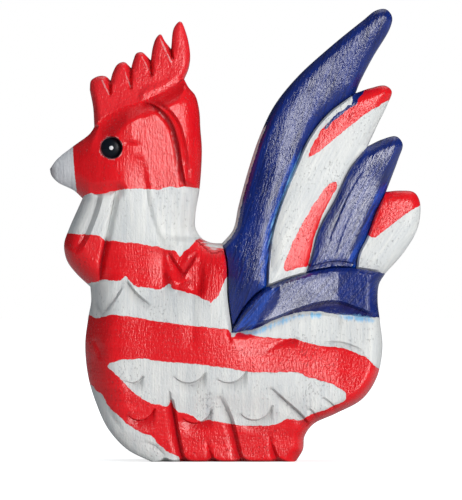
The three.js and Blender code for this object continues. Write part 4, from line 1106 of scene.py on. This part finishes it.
def makeFeather(name, form):
    cuts = form.get("cuts", [])
    before, after = form["before"], form["after"]
    seams = [seam for seam in (*form["roots"], before, after) if seam]
    runs = ["-" + form["free"], *filter(None, [before]), *form["roots"]]
    if after:
        runs.append("-" + after)
    ring = outlineOf(runs)

    def half(at, side):
        x, z = at.T
        share = np.clip(np.hypot(*(at - tailRoot).T) / tailForm["reach"], 0, 1)
        root, tip = tailForm["rootWidth"], tailForm["tipWidth"]
        full = (root + (tip - root) * share) / 2 - form["step"] * tailForm["step"]
        full = full - (x - tailRoot[0]) * tailForm["lean"]
        near = freeRim(at, (form["free"], *seams), form["crown"])
        full = full - form["fall"] * (1 - near) ** 2
        full = cutRidges(form["ridges"], at, full)
        if name == "sickleWood":
            # low down its front half turns towards the head
            t = sickleTurn
            front = t["front"] + t["slant"] * (z - t["from"])
            turned = t["fall"] * np.clip(front - x, 0, t["most"])
            full = full - turned * smooth((t["low"] - z) / t["over"])
            full = full + t["rise"] * np.clip(x - t["tip"], 0, 20)
        seam = tailForm["seam"]
        edges = [(form["free"], lambda f: f * tailForm["rim"], form.get("round", tailForm["round"]),
                  shoulder)]
        edges += [(line, lambda f: f - seam, seam, straight) for line in seams]
        if after:
            edges.append((after, lambda f: f - seam, seam * tailForm["steep"], straight))
        marks = scoops(at, form["step"] * 2 + side, **tailForm["marks"])
        marks = marks * inland(at, ring, tailForm["inland"])
        return edged(full, at, edges) + marks - carveCuts(cuts, at)

    def paint(at, coords):
        z = at[:, 1]
        # the cuts darken as painted shade, through hollow
        layers = {**strokes(at, form["angle"]), "rim": freeRim(at, [form["free"]]),
                  "hollow": carveCuts(cuts, at), "streak": np.zeros(len(at))}
        for layer, areas in form["coats"].items():
            layers[layer] = np.max([zone(area, at) for area in areas], axis=0)
        if form["ground"] == "blue":
            # a brighter strip beside the seam, low down, where the wood faces the lamp: painted light
            off = measure(lines[after], at, 4)[0]
            layers["brightEdge"] = np.minimum(1.1 - abs(off - 1.0), (sicklePaint["bright"] - z) * 0.3)
        if name == "sickleWood":
            # ropy paint low down, pale smears on the seam, a bare white front edge half way up
            upper, lower = sicklePaint["ropes"]
            layers["streak"] = smooth((upper - z) / 10) * 0.4 + smooth((lower - z) / 8) * 0.6
            low, high = sicklePaint["pale"]
            layers["paleEdge"] = np.minimum(0.5 - off, np.minimum(z - low, high - z) * 0.2)
            low, high = sicklePaint["white"]
            end = high - 0.8 * np.clip(8 - abs(coords[:, 1]), 0, 8)
            layers["whiteEdge"] = np.minimum(0.7 - measure(lines["sickle"], at, 3)[0],
                                             np.minimum(z - low, end - z) * 0.2)
            layers["whiteEdge"][at[:, 0] > 14] = -3  # not on the back edge
        if name == "rearWood":
            layers["streak"] = smooth(layers["redEdge"] + 0.5) * 0.5
        return layers

    piece = carve(name, runs, cuts, half, paint)
    colors = {"redEdge": "red", "blueEdge": "blue"}
    coats = [(layer, colors[layer], False) for layer in form["coats"]]
    if form["ground"] == "blue":
        coats.append(("brightEdge", "bright", True))
    if name == "sickleWood":
        coats += [("paleEdge", "pale", True), ("whiteEdge", "white", False)]
    material = paintedWood(name.replace("Wood", "Paint"), form["ground"], coats, 0.8,
                           form.get("shine", 0.5))
    dress(piece, material, "root", form["slot"], form["node"])


for featherName, featherForm in featherForms.items():
    makeFeather(featherName, featherForm)


# Eyes: a black bead with a spot of white paint on its crown, the same on both cheeks
def beadPaint():
    material, s = newMaterial("beadPaint")
    place = s.node("ShaderNodeTexCoord", output="Object")
    x, z = (s.node("ShaderNodeSeparateXYZ", None, {"Vector": place}, output=axis) for axis in "XZ")
    x = x * 1000 - eyeAt[0]
    z = z * 1000 - eyeAt[1]
    ragged = s.noise(s.place((0.9, 0.9, 0.9)), detail=3.0)
    away = (x * x + z * z).math("SQRT", 0.0)
    # a pale painted highlight round the edge of the black bead
    ring = eyeForm["radius"] - eyeForm["ring"]
    edge = (away + (ragged - 0.5) * 0.35).between(ring - 0.08, ring)
    s.surface({"Base Color": s.mixColor(edge * 0.8, eyeForm["black"], eyeForm["edgeShadeAndGlint"]),
               "Roughness": edge * 0.3 + (ragged - 0.5) * 0.2 + 0.3, "Specular IOR Level": 0.15})
    return material


def spotPaint():
    material, s = newMaterial("spotPaint")
    dabs = s.noise(s.place((1.2, 1.2, 1.2)), detail=2.0)
    s.surface({"Base Color": s.mixColor(dabs, *eyeForm["white"]), "Roughness": 0.45})
    return material


def beadGroup():
    group = bpy.data.node_groups.new("beadEyes", "GeometryNodeTree")
    kinds = {"Geometry": "Geometry", "Bead": "Material", "Paint": "Material"}
    sockets = {}
    for label in ("Geometry", "Radius", "Bulge", "Spot", "Left", "Right", "Back", "Up", "Bead", "Paint"):
        kind = "NodeSocket" + kinds.get(label, "Float")
        sockets[label] = group.interface.new_socket(label, in_out="INPUT", socket_type=kind).identifier
    group.interface.new_socket("Geometry", in_out="OUTPUT", socket_type="NodeSocketGeometry")
    s = Shader(group)
    given = group.nodes.new("NodeGroupInput")
    value = {item.name: Signal(s, item) for item in given.outputs if item.name}

    def join(parts):
        joined = group.nodes.new("GeometryNodeJoinGeometry")
        for part in parts:
            group.links.new(part.socket, joined.inputs[0])
        return Signal(s, joined.outputs[0])

    ball = s.node("GeometryNodeMeshUVSphere", None, {"Segments": 64, "Rings": 32, "Radius": 1.0})
    wide = s.vector(value["Radius"], value["Bulge"], value["Radius"])
    bead = s.node("GeometryNodeTransform", None, {"Geometry": ball, "Scale": wide})
    bead = s.node("GeometryNodeSetMaterial", None, {"Geometry": bead, "Material": value["Bead"]})
    small = s.vector(value["Spot"], value["Bulge"] * 0.3, value["Spot"])
    both = []
    for label, way in (("Left", -1), ("Right", 1)):
        spot = s.node("GeometryNodeTransform", None,
                      {"Geometry": ball, "Scale": small,
                       "Translation": s.vector(0.0, value["Bulge"] * (way * eyeForm["spotOut"]),
                                               0.0)})
        spot = s.node("GeometryNodeSetMaterial", None, {"Geometry": spot, "Material": value["Paint"]})
        place = s.vector(value["Back"], value[label], value["Up"])
        both.append(s.node("GeometryNodeTransform", None,
                           {"Geometry": join((bead, spot)), "Translation": place}))
    shaded = s.node("GeometryNodeSetShadeSmooth", None, {"Geometry": join(both)})
    s.node("NodeGroupOutput", None, {"Geometry": shaded})
    return group, sockets


def makeEyes():
    group, sockets = beadGroup()
    seat = placed("eyeSeat", bpy.data.meshes.new("eyeSeat"))
    modifier = seat.modifiers.new("beads", "NODES")
    modifier.node_group = group
    given = {"Radius": eyeForm["radius"], "Bulge": eyeForm["bulge"], "Spot": eyeForm["spot"],
             "Left": -eyeSeat[-1], "Right": eyeSeat[1], "Back": eyeAt[0], "Up": eyeAt[1]}
    for label, length in given.items():
        modifier[sockets[label]] = length * mm
    modifier[sockets["Bead"]] = beadPaint()
    modifier[sockets["Paint"]] = spotPaint()
    seen = bpy.context.evaluated_depsgraph_get()
    mesh = bpy.data.meshes.new_from_object(seat.evaluated_get(seen), depsgraph=seen)
    bpy.data.objects.remove(seat)
    mesh.name = "beadEyes"
    eyes = placed("beadEyes", mesh)
    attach(eyes, "root")
    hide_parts("eye_left", "eye_right")
    print("stage: eyes set,", len(mesh.polygons), "faces")


makeEyes()

# Dowels stay as they are, in bare turned wood
bareForm = {"light": (0.62, 0.44, 0.25), "dark": (0.38, 0.22, 0.10)}
dowelWood, bare = newMaterial("bareWood")
rings = bare.noise(bare.place((0.9, 0.9, 0.12)), detail=3.0, roughness=0.6)
bare.surface({"Base Color": bare.mixColor(rings.between(0.35, 0.7), bareForm["light"], bareForm["dark"]),
              "Roughness": rings * 0.3 + 0.55})
for nodeName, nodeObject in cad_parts.items():
    if "dowel" in nodeName:
        nodeObject.data.materials.clear()
        nodeObject.data.materials.append(dowelWood)

# Floor, backdrop, light and camera
studio = {
    "middle": (0.003, 0.0, 0.056),
    "keyTurn": 31, "keyRise": 7, "keyAway": 1.3, "keySize": 0.7, "keyGlow": 10.6,
    "keyColor": (1.0, 0.99, 0.975),
    "topPlace": (0.1, 0.45, 0.9), "topSize": 0.8, "topGlow": 1.2, "topColor": (1.0, 1.0, 1.0),
    "fill": 0.24, "sky": 0.18, "room": 0.03, "overhead": 0.1, "tint": (0.86, 0.93, 1.0),
    "floor": 3.0, "card": (0.6, 0.6, 0.6, 1), "cardGlow": (0.78, 0.22),
}


def panel(name, place, aim, size, glow, color):
    light = bpy.data.lights.new(name, "AREA")
    light.shape = "SQUARE"
    light.size = size
    light.energy = glow * math.pi * size ** 2
    light.color = color
    lamp = placed(name, light)
    lamp.location = place
    lamp.rotation_euler = (aim - place).to_track_quat("-Z", "Y").to_euler()


middle = Vector(studio["middle"])
turn, rise = math.radians(studio["keyTurn"]), math.radians(studio["keyRise"])
towards = Vector((math.sin(turn) * math.cos(rise), -math.cos(turn) * math.cos(rise), math.sin(rise)))
panel("keySoftbox", middle + towards * studio["keyAway"], middle, studio["keySize"],
      studio["keyGlow"], studio["keyColor"])
panel("topSoftbox", middle + Vector(studio["topPlace"]), middle, studio["topSize"],
      studio["topGlow"], studio["topColor"])

# the camera sees white, gloss sees a dark room with a pale ceiling, the rest a cool soft fill
world = bpy.data.worlds.new("studioWorld")
bpy.context.scene.world = world
world.use_nodes = True
w = Shader(world.node_tree)
path = w.tree.nodes.new("ShaderNodeLightPath")
seen = Signal(w, path.outputs["Is Camera Ray"]).larger(Signal(w, path.outputs["Is Transmission Ray"]))
glossy = Signal(w, path.outputs["Is Glossy Ray"])
way = w.node("ShaderNodeTexCoord", output="Generated")
upwards = w.node("ShaderNodeSeparateXYZ", None, {"Vector": way}, output="Z")
mirrored = upwards.between(0.35, 0.9) * (studio["overhead"] - studio["room"]) + studio["room"]
fill = upwards.between(-0.3, 1.0) * studio["sky"] + studio["fill"]
strength = (1 - seen) * (glossy * (mirrored - fill) + fill) + seen
tint = w.mixColor(seen, studio["tint"], (1, 1, 1))
background = w.node("ShaderNodeBackground", None, {"Color": tint, "Strength": strength})
w.node("ShaderNodeOutputWorld", None, {"Surface": background})


def makeFloor():
    size = studio["floor"]
    mesh = bpy.data.meshes.new("floor")
    mesh.from_pydata([(-size, -size, 0), (size, -size, 0), (size, size, 0), (-size, size, 0)], [],
                     [(0, 1, 2, 3)])
    material, s = newMaterial("floorCard")
    light = s.tree.nodes.new("ShaderNodeLightPath")
    seenHere = Signal(s, light.outputs["Is Camera Ray"])
    place = s.node("ShaderNodeTexCoord", output="Object")
    away = s.node("ShaderNodeVectorMath", {"operation": "LENGTH"}, [place], output="Value")
    plain = away.between(0.12, 0.4)
    card = s.node("ShaderNodeBsdfDiffuse", None, {"Color": studio["card"]})
    least, more = studio["cardGlow"]
    glow = s.node("ShaderNodeEmission", None,
                  {"Color": (1, 1, 1, 1), "Strength": seenHere * (plain * more + least)})
    both = s.node("ShaderNodeAddShader", None, [card, glow])
    s.node("ShaderNodeOutputMaterial", None, {"Surface": both})
    mesh.materials.append(material)
    placed("floor", mesh)


makeFloor()

view = {"away": 1.5, "fieldHeight": 0.13304, "place": (0.00186, 0.0560), "sensor": 36.0}
camera = bpy.data.cameras.new("camera")
camera.sensor_fit = "VERTICAL"
camera.sensor_height = view["sensor"]
camera.lens = view["sensor"] * view["away"] / view["fieldHeight"]
cameraObject = placed("camera", camera)
cameraObject.location = (view["place"][0], -view["away"], view["place"][1])
cameraObject.rotation_euler = (math.radians(90), 0, 0)
bpy.context.scene.camera = cameraObject
bpy.context.scene.view_settings.view_transform = "Standard"
